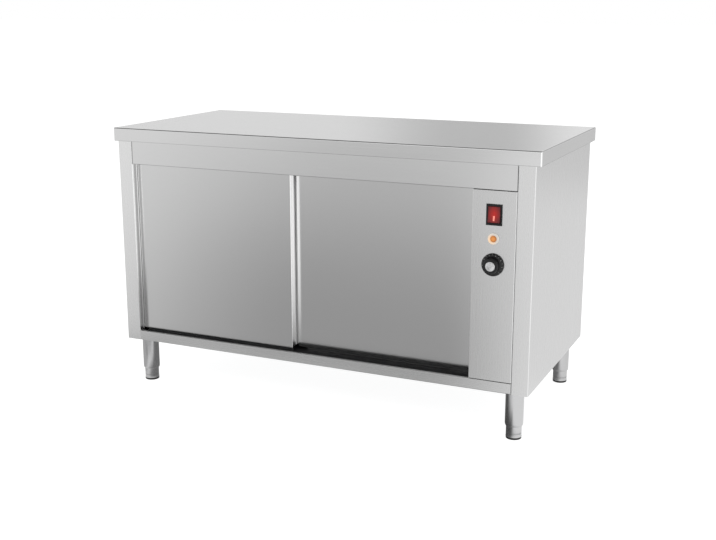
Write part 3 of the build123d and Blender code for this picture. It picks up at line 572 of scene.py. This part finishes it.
def legTube(centre, bottom, top):
    look = legLook
    outside = [(radius, bottom + rise) for radius, rise in look["mouth"]]
    outside += [(look["tubeRadius"], (bottom + top) / 2), (look["tubeRadius"], top)]
    inside = [(radius - look["wall"], height) for radius, height in reversed(outside)]
    return turned("tube", outside + inside + outside[:1], centre, ring=True)


def legWeld(centre, top):
    # a fillet bead of small overlapping puddles, joining the tube to its plate
    look = legLook
    radius, corners = look["tubeRadius"], look["weldBeads"] * 3
    steps = [(radius + out, top + rise) for out, rise in look["weld"]]
    weld = turned("weld", steps, centre, sides=corners, ring=True)

    def crest(corner):
        away, turn = polar(corner.co.xy - centre.xy)
        return away > radius + look["weldInside"] and round(turn * corners) % 3 == 0

    startEdit(weld)
    pick("VERT", crest)
    shift(z=look["weldCrest"])
    endEdit()
    return weld


def legPlate(centre, low, high):
    look = legLook
    half = look["plateHalf"]
    plate = block("plate", (centre.x - half, centre.y - half, low), (centre.x + half, centre.y + half, high))
    startEdit(plate)
    pick("EDGE", lambda edge: span(edge).z > hair)
    bpy.ops.mesh.bevel(offset=look["plateCorner"], segments=5)
    pick("FACE", facing((0, 0, -1)))
    inset(look["plateRim"])
    shift(z=-look["plateStep"])
    endEdit()
    return plate


def footBody(centre, low, stemTop):
    # a rimmed and grooved body with a threaded stem above it
    look = footLook
    radius, stem, pitch, edge = look["radius"], look["stem"], look["threadPitch"], look["edge"]
    top = low + look["bodyTop"]
    steps = [(wide, low + height) for wide, height in look["rim"]]
    steps += [(radius - depth, low + start + rise) for start in look["grooves"] for depth, rise in look["groove"]]
    steps += [(radius, top - edge), (radius - edge, top), (stem + look["stemFillet"], top)]
    rise = top + pitch
    while rise < stemTop - pitch:
        steps += [(stem, rise), (stem - look["threadDepth"], rise + pitch / 2)]
        rise += pitch
    steps += [(stem, stemTop - edge), (stem - edge, stemTop)]
    return turned("foot", steps, centre)


for corner, short in cornerNames.items():
    node = "leg_" + corner
    centre = middleOf(node, z=0)
    bottom, top = heights(node)
    plateLow = top - legLook["plateHeight"]
    leg = joined("leg", [legTube(centre, bottom, plateLow), legWeld(centre, plateLow), legPlate(centre, plateLow, top)])
    putOn(leg, node + "_welded", "cabinet", "stainless_outer", node, finish=turnedSteel)
    node = "foot_" + corner
    foot = footBody(centre, *heights(node))
    putOn(foot, node + "_turned", "foot_" + short, "stainless_outer", node, finish=turnedSteel)
    node = "foot_pad_" + corner
    bottom = heights(node)[0]
    pad = turned("pad", [(wide, bottom + height) for wide, height in padLook["profile"]], centre)
    putOn(pad, node + "_ringed", "foot_" + short, "black_rubber", node)
print("legs and feet")


# the switch: a black frame and the rocker key in it
switchLook = {
    "rimRise": 0.003, "lip": 0.0022, "slopeDrop": 0.0012, "wellDepth": 0.0125, "opening": (0.0178, 0.0236),
    "edge": 0.0006, "bodyRim": 0.0002, "bodyInset": (0.002, 0.003), "bodyDepth": 0.0318}
keyLook = {
    "reach": 0.0232, "width": 0.0348, "brow": 0.0069, "crease": 0.0045, "back": 0.008, "tilt": -6.0,
    "pivotDepth": 0.005, "edge": 0.0007, "pin": 0.0016, "pinEdge": 0.0003, "pinReach": 0.0026}
markLook = {"half": 0.0027, "top": -0.0035, "low": -0.0175, "rise": 0.00018, "depth": 0.0006, "edge": 0.0005}


def switchBezel(low, high):
    look = switchLook
    panelFace = low.y + look["rimRise"]
    bezel = block("bezel", low, (high.x, panelFace, high.z))
    centre = middleOf("switch_housing", y=0)
    half = (high - low) / 2
    startEdit(bezel)
    # the lip, the slope down to the key's opening, and the well behind it
    pick("FACE", facing((0, -1, 0)))
    inset(look["lip"])
    across, upward = [side / (reach - look["lip"]) for side, reach in zip(look["opening"], (half.x, half.z))]
    grow((0, look["slopeDrop"], 0), (across, 1, upward), centre)
    grow((0, look["wellDepth"], 0))
    # the body that passes through the panel
    back = facing((0, 1, 0))
    pick("FACE", lambda face: back(face) and middle(face).y > panelFace - hair)
    inset(look["bodyRim"])
    across, upward = [1 - inset / reach for inset, reach in zip(look["bodyInset"], (half.x, half.z))]
    resize((across, 1, upward), centre)
    grow((0, look["bodyDepth"], 0))
    endEdit()
    bevelled(bezel, look["edge"], segments=3)
    return bezel


def rockerKey():
    # a drum about the pivot, cut flat in front and behind, then pulled in along the middle
    look = keyLook
    key = rod("key", look["reach"], look["width"], sides=96)
    startEdit(key)
    for plane, way in ((-look["brow"], -1), (look["back"], 1)):
        cutAll((0, plane, 0), (0, way, 0), use_fill=True, clear_outer=True)
    cutAll((0, 0, 0), (0, 0, 1))
    pick("EDGE", lambda edge: all(abs(end.co.z) < hair and end.co.y < -look["crease"] for end in edge.verts))
    shift(y=look["brow"] - look["crease"])
    endEdit()
    bevelled(key, look["edge"], segments=3)
    pin = rod("pin", look["pin"], look["width"] + 2 * look["pinReach"], sides=24)
    bevelled(pin, look["pinEdge"], segments=2)
    return joined("key", [key, pin])


def rockerMark():
    # a raised stroke on the key's lower face, leaning with it
    look = markLook
    slope = (keyLook["brow"] - keyLook["crease"]) / keyLook["reach"]
    top, low = [slope * height - keyLook["crease"] - look["rise"] for height in (look["top"], look["low"])]
    mark = block("mark", (-look["half"], top, look["low"]), (look["half"], top + look["depth"], look["top"]))
    startEdit(mark)
    pick("VERT", lambda corner: corner.co.z < (look["top"] + look["low"]) / 2)
    shift(y=low - top)
    pick("EDGE", lambda edge: span(edge).y > hair)
    bpy.ops.mesh.bevel(offset=look["edge"], segments=3)
    endEdit()
    return mark


low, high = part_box("switch_housing")
putOn(switchBezel(low, high), "switch_bezel", "cabinet", "knob_plastic", "switch_housing",
      finish=finishOf["black_nylon"])
pivot = middleOf("switch_housing", y=low.y + keyLook["pivotDepth"])
key = setAt(rockerKey(), pivot, (keyLook["tilt"], 0, 0))
putOn(key, "rocker_key", "switch_rocker", "red_plastic", "rocker")
mark = setAt(rockerMark(), pivot, (keyLook["tilt"], 0, 0))
putOn(mark, "rocker_mark", "switch_rocker", "red_plastic", finish=finishOf["mark"])
print("switch")

# the pilot lamp: a rolled ring and a domed lens with flat sides, as (radius, height) from the panel
lampLook = {
    "rise": 0.004,
    "ring": [(0.0072, -0.019), (0.008, -0.0182), (0.008, -0.0053), (0.0105, -0.0053), (0.0113, -0.0048),
             (0.0113, -0.0016), (0.0105, -0.0012), (0.008, -0.0012), (0.008, 0.0), (0.0159, 0.0), (0.0165, 0.0006),
             (0.0165, 0.0024), (0.0161, 0.0034), (0.0153, 0.0039), (0.0143, 0.004), (0.0116, 0.0036),
             (0.0096, 0.0029), (0.0088, 0.0023), (0.0088, 0.001)],
    "lens": [(0.008, 0.001), (0.0086, 0.0014), (0.0086, 0.0036), (0.0082, 0.005), (0.0073, 0.006), (0.006, 0.0066),
             (0.0044, 0.0069), (0.0022, 0.007)]}
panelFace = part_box("pilot_lamp_bezel")[0].y + lampLook["rise"]
lampCentre = middleOf("pilot_lamp_bezel", y=panelFace)
lampRing = turned("ring", lampLook["ring"], lampCentre, front=True)
putOn(lampRing, "lamp_ring_turned", "cabinet", "lamp_ring", "pilot_lamp_bezel")
lens = turned("lens", lampLook["lens"], lampCentre, sides=16, front=True)
putOn(lens, "lamp_lens_cut", "cabinet", "amber_lens", "pilot_lamp_lens", smooth=12)
print("pilot lamp")

# the thermostat knob: skirt, fluted boss, silver cap and the ticks on the skirt
knobLook = {
    "skirt": [(0.031, 0.001), (0.0321, 0.0014), (0.0325, 0.0022), (0.0325, 0.0036), (0.032, 0.0047), (0.0308, 0.0055),
              (0.0295, 0.006), (0.0262, 0.0068), (0.0244, 0.0075), (0.0234, 0.009)],
    "boss": [(0.0228, 0.013), (0.0222, 0.02), (0.0219, 0.0246), (0.0214, 0.026), (0.0205, 0.0268), (0.0193, 0.027),
             (0.0152, 0.0269), (0.0143, 0.0264), (0.0141, 0.025)],
    "gripLow": 0.0095, "gripHigh": 0.0258, "gripInside": 0.0205, "grips": 32, "gripDepth": 0.974,
    "cap": [(0.0136, 0.025), (0.0139, 0.0254), (0.0139, 0.0264), (0.0134, 0.0269), (0.0122, 0.027), (0.0118, 0.0268),
            (0.0114, 0.027), (0.0092, 0.0269), (0.0088, 0.0267), (0.0084, 0.0269), (0.004, 0.0268)]}
dialLook = {
    "inner": 0.0274, "outer": 0.0306, "width": 0.0007, "rise": 0.00015, "sunk": 0.0003, "start": -135, "turn": 270,
    "count": 15}


def flutedKnob(centre):
    # a turned knob whose boss has its sides drawn in between the grips
    look = knobLook
    knob = turned("knob", look["skirt"] + look["boss"], centre, sides=4 * look["grips"], front=True)

    def hollow(face):
        place = middle(face) - centre
        away, turn = polar(place.xz)
        onBoss = look["gripLow"] < -place.y < look["gripHigh"] and away > look["gripInside"]
        return onBoss and turn * look["grips"] % 1 < 0.5

    startEdit(knob)
    pick("FACE", hollow)
    resize((look["gripDepth"], 1, look["gripDepth"]), centre)
    endEdit()
    return knob


def dialTicks(centre):
    # raised ticks on the skirt's upper slope, every other one shorter
    look = dialLook
    (outRadius, outHeight), (inRadius, inHeight) = knobLook["skirt"][6:8]
    slope = (inHeight - outHeight) / (outRadius - inRadius)
    half, outer = look["width"] / 2, look["outer"]
    ticks = []
    for index in range(look["count"]):
        inner = look["inner"] if index % 2 == 0 else (look["inner"] + outer) / 2
        height = outHeight + slope * (outRadius - inner)
        tick = block("tick", (-half, -height - look["rise"], inner), (half, look["sunk"] - height, outer))
        startEdit(tick)
        pick("VERT", lambda corner: corner.co.z > (inner + outer) / 2)
        shift(y=slope * (outer - inner))
        endEdit()
        ticks.append(setAt(tick, centre, (0, look["start"] + look["turn"] * index / (look["count"] - 1), 0)))
    return joined("ticks", ticks)


knobCentre = middleOf("knob", y=panelFace)
putOn(flutedKnob(knobCentre), "knob_fluted", "thermostat_knob", "knob_plastic", "knob")
cap = turned("cap", knobLook["cap"], knobCentre, front=True)
putOn(cap, "knob_cap_turned", "thermostat_knob", "brushed_cap", "knob_cap")
putOn(dialTicks(knobCentre), "dial_ticks", "thermostat_knob", "knob_plastic", finish=finishOf["dial"])
print("knob")


# pan-head screws of the rear panel
screwLook = {
    "profile": [(0.00108, -0.006), (0.0018, -0.0048), (0.0018, 0.0), (0.00384, 0.0), (0.004, 0.000378),
                (0.00388, 0.00105), (0.0034, 0.00168), (0.0024, 0.002016), (0.001, 0.0021)],
    "crossHalf": 0.0022, "crossWidth": 0.0004, "crossLow": 0.001, "crossHigh": 0.0042, "crossTaper": 0.55,
    "head": 0.004, "places": 5}


def panScrew():
    # a domed head looking along +Z with a cross recess cut into it, its seat at the origin
    look = screwLook
    screw = turned("screw", look["profile"], (0, 0, 0), sides=24)
    half, width = look["crossHalf"], look["crossWidth"]
    for turn in (0, 90):
        arm = block("arm", (-half, -width, look["crossLow"]), (half, width, look["crossHigh"]))
        startEdit(arm)
        pick("FACE", facing((0, 0, -1)))
        resize((look["crossTaper"], 1, 1))
        endEdit()
        modified(screw, "BOOLEAN", operation="DIFFERENCE", object=setAt(arm, turn=(0, 0, turn)))
        bpy.data.objects.remove(arm)
    return setAt(screw, turn=(-90, 0, 0))


def rearScrews():
    low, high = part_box("rear_panel_screws")
    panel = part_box("rear_panel")[1].y
    rows, head = screwLook["places"], screwLook["head"]
    step = (high.z - low.z - 2 * head) / (rows - 1)
    places = [(x, panel, low.z + head + step * row) for x in (low.x + head, high.x - head) for row in range(rows)]
    return repeated("screws", panScrew(), places)


putOn(rearScrews(), "rear_screws_cross_head", "cabinet", "zinc_plated", "rear_panel_screws", smooth=40)

# the hoods over the rear panel's vent slots
louvreLook = {
    "length": 0.094, "radius": 0.0078, "rise": 0.0022, "wall": 0.0007, "endTaper": 0.0035, "bite": 0.0002, "drop": 0.4,
    "count": 8, "pitch": 0.018, "fromTop": 0.14, "centreX": 0.59575}


def louvreHoods():
    # half a lens pressed out of the sheet over each slot, its mouth looking down
    look = louvreLook
    hood = rod("hood", look["radius"], look["length"], sides=48)
    startEdit(hood)
    for way in ((0, 0, -1), (0, -1, 0)):
        cutAll((0, 0, 0), way, clear_outer=True)
    for end in (-1, 1):
        pick("VERT", lambda corner: corner.co.x * end > look["length"] / 2 - hair and corner.co.y > hair)
        shift(x=-end * look["endTaper"])
    selectAll()
    resize((1, look["rise"] / look["radius"], 1))
    endEdit()
    modified(hood, "SOLIDIFY", thickness=look["wall"], offset=-1)
    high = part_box("rear_panel")[1]
    top = high.z - look["fromTop"] - look["radius"] * look["drop"]
    places = [(look["centreX"], high.y - look["bite"], top - row * look["pitch"]) for row in range(look["count"])]
    return repeated("hoods", hood, places)


putOn(louvreHoods(), "rear_louvre_hoods", "cabinet", "stainless_outer", smooth=40)
print("rear panel")

# the door rollers' tyres
rollerLook = {
    "face": [(0.00305, 0.0), (0.0045, 0.0), (0.0048, 0.0005), (0.0072, 0.0005), (0.0078, 0.0), (0.0082, 0.0009),
             (0.0098, 0.0009), (0.0102, 0.0), (0.0111, 0.0), (0.01173, 0.00027), (0.012, 0.0009)]}


def rollerTyre(node):
    # a shielded and hollowed face, mirrored to the other side of the wheel
    low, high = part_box(node)
    face = rollerLook["face"]
    other = [(radius, high.y - low.y - height) for radius, height in reversed(face)]
    return turned("tyre", face + other + face[:1], middleOf(node, y=high.y), sides=48, ring=True, front=True)


for side in ("left", "right"):
    for letter in "ab":
        node = side + "_door_roller_" + letter
        putOn(rollerTyre(node), node + "_tyre", side + "_roller_" + letter, "white_nylon", node)
print("rollers")

# the cable gland under the base: a threaded barrel with a ribbed dome, and a nut on each side of the sheet
glandLook = {
    "bore": 0.0045, "boreEdge": 0.001, "mouth": 0.0015, "thread": 0.01, "threadDepth": 0.0006, "threadPitch": 0.0015,
    "threadEnd": 0.00225, "dome": 0.011, "domeSteps": [(0.72, 0.0002), (0.9, 0.0012), (1.0, 0.0032), (1.0, 0.008)],
    "ribs": 12, "ribDepth": 0.95, "steepest": 0.1, "hex": 0.014, "hexEdge": 0.0008, "hexBite": 0.0004, "nut": 0.008,
    "lockNut": 0.005, "sheetBelow": 0.1512, "sheetAbove": 0.1524}


def hexNut(centre, low, high):
    look = glandLook
    wide, edge, inner = look["hex"], look["hexEdge"], look["thread"] - look["hexBite"]
    steps = [(inner, low), (wide - edge * 2, low), (wide, low + edge), (wide, high - edge), (wide - edge * 2, high),
             (inner, high), (inner, low)]
    return turned("nut", steps, centre, sides=6, ring=True)


def cableGland():
    look = glandLook
    centre = middleOf("cable_gland", z=0)
    bottom, top = heights("cable_gland")
    thread, depth, pitch, bore = look["thread"], look["threadDepth"], look["threadPitch"], look["bore"]
    rise, domeTop, mouth = look["sheetAbove"], bottom + look["domeSteps"][-1][1], bore + look["mouth"]
    steps = [(mouth, bottom)] + [(look["dome"] * share, bottom + height) for share, height in look["domeSteps"]]
    steps += [(thread, domeTop), (thread, rise)]
    while rise < top - look["threadEnd"]:
        steps += [(thread - depth, rise + pitch / 2), (thread, rise + pitch)]
        rise += pitch
    steps += [(thread, top - depth), (thread - depth, top), (bore + look["boreEdge"], top),
              (bore, top - look["boreEdge"]), (bore, bottom + look["mouth"]), (mouth, bottom)]
    barrel = turned("barrel", steps, centre, sides=48, ring=True)

    def rib(face):
        place = middle(face) - centre
        away, turn = polar(place.xy)
        onDome = abs(face.normal.z) < look["steepest"] and place.z < domeTop
        return onDome and away > look["dome"] * look["ribDepth"] and turn * look["ribs"] % 1 < 0.5

    startEdit(barrel)
    pick("FACE", rib)
    resize((look["ribDepth"], look["ribDepth"], 1), centre)
    endEdit()
    lower = hexNut(centre, bottom + look["nut"], look["sheetBelow"])
    upper = hexNut(centre, look["sheetAbove"], look["sheetAbove"] + look["lockNut"])
    return joined("gland", [barrel, lower, upper])


putOn(cableGland(), "cable_gland_ribbed", "cabinet", "black_nylon", "cable_gland")
print("cable gland")

# insulation: matted slabs with soft edges and a lumpy face
woolLook = {"inset": 0.0022, "edge": 0.004, "cuts": 7, "swell": 0.0016, "lumpSize": 0.05}


def woolSlabs():
    look = woolLook
    slabs = copied(frame["nodes"]["insulation_slabs"])
    for key in list(slabs.keys()):
        if key.startswith("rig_"):
            del slabs[key]
    bpy.ops.object.parent_clear(type="CLEAR_KEEP_TRANSFORM")
    startEdit(slabs)
    selectAll()
    bpy.ops.mesh.remove_doubles(threshold=mergeAt)
    bpy.ops.mesh.dissolve_limited(angle_limit=math.radians(2))
    bpy.ops.transform.shrink_fatten(value=-look["inset"])
    endEdit()
    bevelled(slabs, look["edge"], segments=2)
    startEdit(slabs)
    selectAll()
    bpy.ops.mesh.subdivide(number_cuts=look["cuts"])
    endEdit()
    lumps = bpy.data.textures.new("woolLumps", "CLOUDS")
    lumps.noise_scale = look["lumpSize"]
    modified(slabs, "DISPLACE", texture=lumps, strength=look["swell"])
    return slabs


putOn(woolSlabs(), "insulation_matted", "cabinet", "mineral_wool", "insulation_slabs", smooth=60)
print("insulation")

# rubber door buffers at both ends of the upper track
bufferLook = {"thick": 0.003, "wide": 0.014, "rounding": 0.00108, "rims": (0.0018, 0.0009), "dimple": 0.0009}


def doorBuffer(door, inward):
    # a rubber pad behind a door's end, its face stepped round a sunk fixing
    look = bufferLook
    low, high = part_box("door_buffers")
    left, across = low.x if inward > 0 else high.x - look["thick"], middleOf(door).y
    pad = block("buffer", (left, across - look["wide"] / 2, low.z),
                (left + look["thick"], across + look["wide"] / 2, high.z))
    bevelled(pad, look["rounding"], segments=3)
    startEdit(pad)
    pick("FACE", facing((inward, 0, 0)))
    for rim in look["rims"]:
        inset(rim)
    shift(x=-inward * look["dimple"])
    endEdit()
    return pad


buffers = [doorBuffer(side + "_door_outer", inward) for side in ("left", "right") for inward in (1, -1)]
putOn(joined("buffers", buffers), "door_buffers_moulded", "cabinet", "black_rubber", "door_buffers")
print("door buffers")

# the hem on the left post's return, where the sheet is folded back on itself, in a paler polished steel that paints a
# bright highlight line
hemLook = {"proud": 0.0008, "width": 0.0042, "rounding": 0.00064, "lap": 0.0005, "doorGap": 0.0012, "ends": 0.0015}


def postHem():
    look = hemLook
    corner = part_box("upper_fascia")[0]
    edge, top = corner.x - look["lap"], corner.z
    rear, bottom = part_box("left_door_outer")[0].y - look["doorGap"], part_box("lower_front_rail")[1].z
    hem = block("hem", (edge, rear - look["width"], bottom + look["ends"]),
                (edge + look["proud"], rear, top - look["ends"]))
    startEdit(hem)
    pick("EDGE", lambda line: span(line).z > hair and middle(line).x > edge + hair)
    bpy.ops.mesh.bevel(offset=look["rounding"], segments=4)
    endEdit()
    return hem


putOn(postHem(), "left_post_hem", "cabinet", "stainless_outer", finish=hemHighlightSteel, smooth=60)

# the soft lip that closes the gap between the doors
lipLook = {
    "foot": 0.004, "footDepth": 0.0014, "shoulder": 0.0004, "nose": 0.0016, "noseRounding": 0.00064, "gap": 0.0015,
    "inset": 0.0004, "ends": 0.006}


def meetingLip():
    # a flat foot on the left door's back, drawn out into a rounded nose
    look = lipLook
    low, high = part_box("left_door_inner")
    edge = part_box("left_door_outer")[1].x - look["inset"]
    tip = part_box("right_door_outer")[0].y - look["gap"]
    lip = block("lip", (edge - look["foot"], high.y, low.z + look["ends"]),
                (edge, high.y + look["footDepth"], high.z - look["ends"]))
    startEdit(lip)
    pick("FACE", facing((0, 1, 0)))
    grow((0, look["shoulder"], 0), (look["nose"] / look["foot"], 1, 1), (edge, 0, 0))
    grow((0, tip - high.y - look["footDepth"] - look["shoulder"], 0))
    pick("EDGE", lambda line: middle(line).y > tip - hair and span(line).x < hair)
    bpy.ops.mesh.bevel(offset=look["noseRounding"], segments=4)
    endEdit()
    return lip


putOn(meetingLip(), "left_door_meeting_lip", "left_door", "pale_plastic", finish=finishOf["lip"], smooth=40)
print("hem and lip")


# floor, light and camera
studio = {"floorHalf": 60.0, "floorEmission": 0.905, "floorColour": 0.4, "bounceColour": 0.8, "worldDiffuse": 0.55,
          "lamps": [("key", (-2.6, -3.6, 4.2), 3.0, 80), ("fill", (3.6, -2.6, 2.6), 2.6, 40),
                    ("top", (0.2, 0.6, 4.6), 3.2, 45)],
          "aim": (0.0, 0.0, 0.45)}
# the painted reflection that the steel sees of the floor: a grey wedge that widens away from the doors, patches that
# are paler or darker, a slightly darker back, and a painted shadow under the cabinet; an edge is an axis, where its
# fade starts and where it ends
mirrored = {"near": -0.8, "far": -6.0, "middle": (0.2, -1.76), "left": (-1.99, -3.28), "right": (0.70, 1.36),
            "board": (0.33, 1.91), "wedgeLevel": (0.551, 0.327, -0.9, -4.6),
            "wedge": [("left", 0.97, 0.26), ("right", 0.61, 0.05), ("y", -16.0, -8.0), ("y", -0.42, -0.72)],
            "patches": [(0.15, [("aside", 0.4, 0.75), ("y", -3.2, -4.4)]),  # paler far off at the right
                        (0.6, [("inward", 0.0, 0.2), ("inward", 0.95, 0.55), ("y", -1.05, -1.6)]),  # painted bright patch, like a board
                        (-0.45, [("x", -0.64, -0.76), ("x", -2.4, -1.4), ("y", -0.72, -0.58)]),  # at the left side
                        (-0.6, [("x", -0.04, 0.08), ("x", 0.66, 0.6), ("y", -0.58, -0.46), ("y", 0.0, -0.3)])],
            "backLevels": [(0.87, -0.3, 0.5), (0.82, 3.4, 5.2)],
            "underHalf": (0.56, 0.34, 10.0), "underFade": 0.16, "underLevel": 0.22}
# what it sees above the floor, by direction: a ceiling, two darker patches behind, and a bright wall in front
around = {"cornerLevel": (0.83, 0.92, -0.28, -0.2), "frontLevel": 0.86, "frontFade": (-0.3, 0.3),
          "patches": [(-0.26, [("x", -0.43, -0.33), ("x", -0.22, -0.29), ("y", 0.0, 0.5), ("z", 0.34, 0.2)]),
                      (-0.5, [("x", -0.14, -0.04), ("x", 0.5, 0.36), ("y", 0.4, 0.7), ("z", 0.0, 0.07)]),
                      (0.6, [("x", -0.44, -0.34), ("y", 0.1, -0.1), ("z", 0.12, 0.3)])],
          "ceiling": (0.3, 0.55), "ceilingBack": 0.22, "ceilingLevel": (0.1, 0.42, 0.0, 0.35)}


def patched(tree, axes, level, patches):
    # adds each patch's level where all its edges have faded in
    for added, edges in patches:
        level = maths(tree, "ADD", level, inside(tree, axes, added, edges))
    return level


def inside(tree, axes, level, edges):
    for axis, start, end in edges:
        level = maths(tree, "MULTIPLY", level, smoothly(tree, axes[axis], 0.0, 1.0, start, end))
    return level


def mirroredFloor(tree, look):
    coords = placed(tree)
    x, y, z = axesOf(tree, coords)

    def line(key):
        return ranged(tree, y, *look[key], look["near"], look["far"])

    aside = maths(tree, "SUBTRACT", x, line("middle"))
    axes = {"x": x, "y": y, "aside": aside, "inward": maths(tree, "SUBTRACT", x, line("board")),
            "left": maths(tree, "DIVIDE", aside, line("left")), "right": maths(tree, "DIVIDE", aside, line("right"))}
    wedge = inside(tree, axes, smoothly(tree, y, *look["wedgeLevel"]), look["wedge"])
    level = patched(tree, axes, maths(tree, "SUBTRACT", 1.0, wedge), look["patches"])
    for low, start, end in look["backLevels"]:
        level = maths(tree, "MULTIPLY", level, smoothly(tree, y, 1.0, low, start, end))
    beyond = vectorMath(tree, "SUBTRACT", vectorMath(tree, "ABSOLUTE", coords), look["underHalf"])
    away = vectorMath(tree, "LENGTH", vectorMath(tree, "MAXIMUM", beyond))
    return maths(tree, "MULTIPLY", level, smoothly(tree, away, look["underLevel"], 1.0, 0.0, look["underFade"]))


def roomLevel(tree, look):
    coords = addNode(tree, "TexCoord", {}).outputs["Generated"]
    x, y, z = axesOf(tree, coords)
    level = smoothly(tree, y, look["frontLevel"], smoothly(tree, x, *look["cornerLevel"]), *look["frontFade"])
    level = patched(tree, {"x": x, "y": y, "z": z}, level, look["patches"])
    height = maths(tree, "SUBTRACT", z, smoothly(tree, y, 0.0, look["ceilingBack"], *look["frontFade"]))
    ceiling = smoothly(tree, height, 1.0, smoothly(tree, y, *look["ceilingLevel"]), *look["ceiling"])
    return maths(tree, "MULTIPLY", level, ceiling)


def chosen(tree, share, first, second):
    # one shader where the share is 0 and another where it is 1
    return addNode(tree, "MixShader", {0: share, 1: first, 2: second}).outputs[0]


def floorFinish(look):
    # white to the camera with the object's shadow, plain to diffuse light, the grey pattern to the steel
    finish, tree, shader = newFinish("studio floor")
    tree.nodes.remove(shader)
    rays = addNode(tree, "LightPath", {}).outputs
    plain, shadowed = [addNode(tree, "BsdfDiffuse", {"Color": (*grey(look[key]), 1)}).outputs[0]
                       for key in ("bounceColour", "floorColour")]
    white = addNode(tree, "Emission", {"Strength": look["floorEmission"]}).outputs[0]
    seen = addNode(tree, "AddShader", {0: shadowed, 1: white}).outputs[0]
    pattern = addNode(tree, "Emission", {"Strength": mirroredFloor(tree, mirrored)}).outputs[0]
    toCamera = chosen(tree, rays["Is Camera Ray"], plain, seen)
    steelRay = maths(tree, "MAXIMUM", rays["Is Glossy Ray"], rays["Is Transmission Ray"])
    feed(tree.nodes["Material Output"], {"Surface": chosen(tree, steelRay, toCamera, pattern)})
    finish.cycles.emission_sampling = "NONE"
    return finish


floor = started(bpy.ops.mesh.primitive_plane_add, "studioFloor", size=2 * studio["floorHalf"])
floor.data.materials.append(floorFinish(studio))

world = bpy.data.worlds.new("studio")
world.use_nodes = True
world.cycles.sampling_method = "NONE"
bpy.context.scene.world = world
tree = world.node_tree
rays = addNode(tree, "LightPath", {}).outputs
result = feed(tree.nodes["Background"], {"Color": (1, 1, 1, 1)}).outputs[0]
for ray, strength in (("Is Diffuse Ray", studio["worldDiffuse"]), ("Is Glossy Ray", roomLevel(tree, around))):
    background = addNode(tree, "Background", {"Color": (1, 1, 1, 1), "Strength": strength}).outputs[0]
    result = chosen(tree, rays[ray], result, background)
feed(tree.nodes["World Output"], {"Surface": result})

for lampName, place, size, power in studio["lamps"]:
    bpy.ops.object.light_add(type="AREA", location=place)
    lamp = bpy.context.object
    lamp.name = lampName
    lamp.data.size = size
    lamp.data.energy = power
    lamp.visible_glossy = False
    lamp.rotation_euler = (Vector(place) - Vector(studio["aim"])).to_track_quat("Z", "Y").to_euler()

view = {"place": (1.4517, -3.1623, 1.2368), "azimuth": 24.42, "elevation": 13.79, "lens": 54.79, "sensor": 36.0}
bpy.ops.object.camera_add(location=view["place"])
camera = bpy.context.object
camera.rotation_euler = (math.radians(90 - view["elevation"]), 0, math.radians(view["azimuth"]))
camera.data.lens = view["lens"]
camera.data.sensor_width = view["sensor"]
camera.data.clip_end = 100
bpy.context.scene.camera = camera
bpy.context.scene.view_settings.view_transform = "Standard"
print("studio ready")
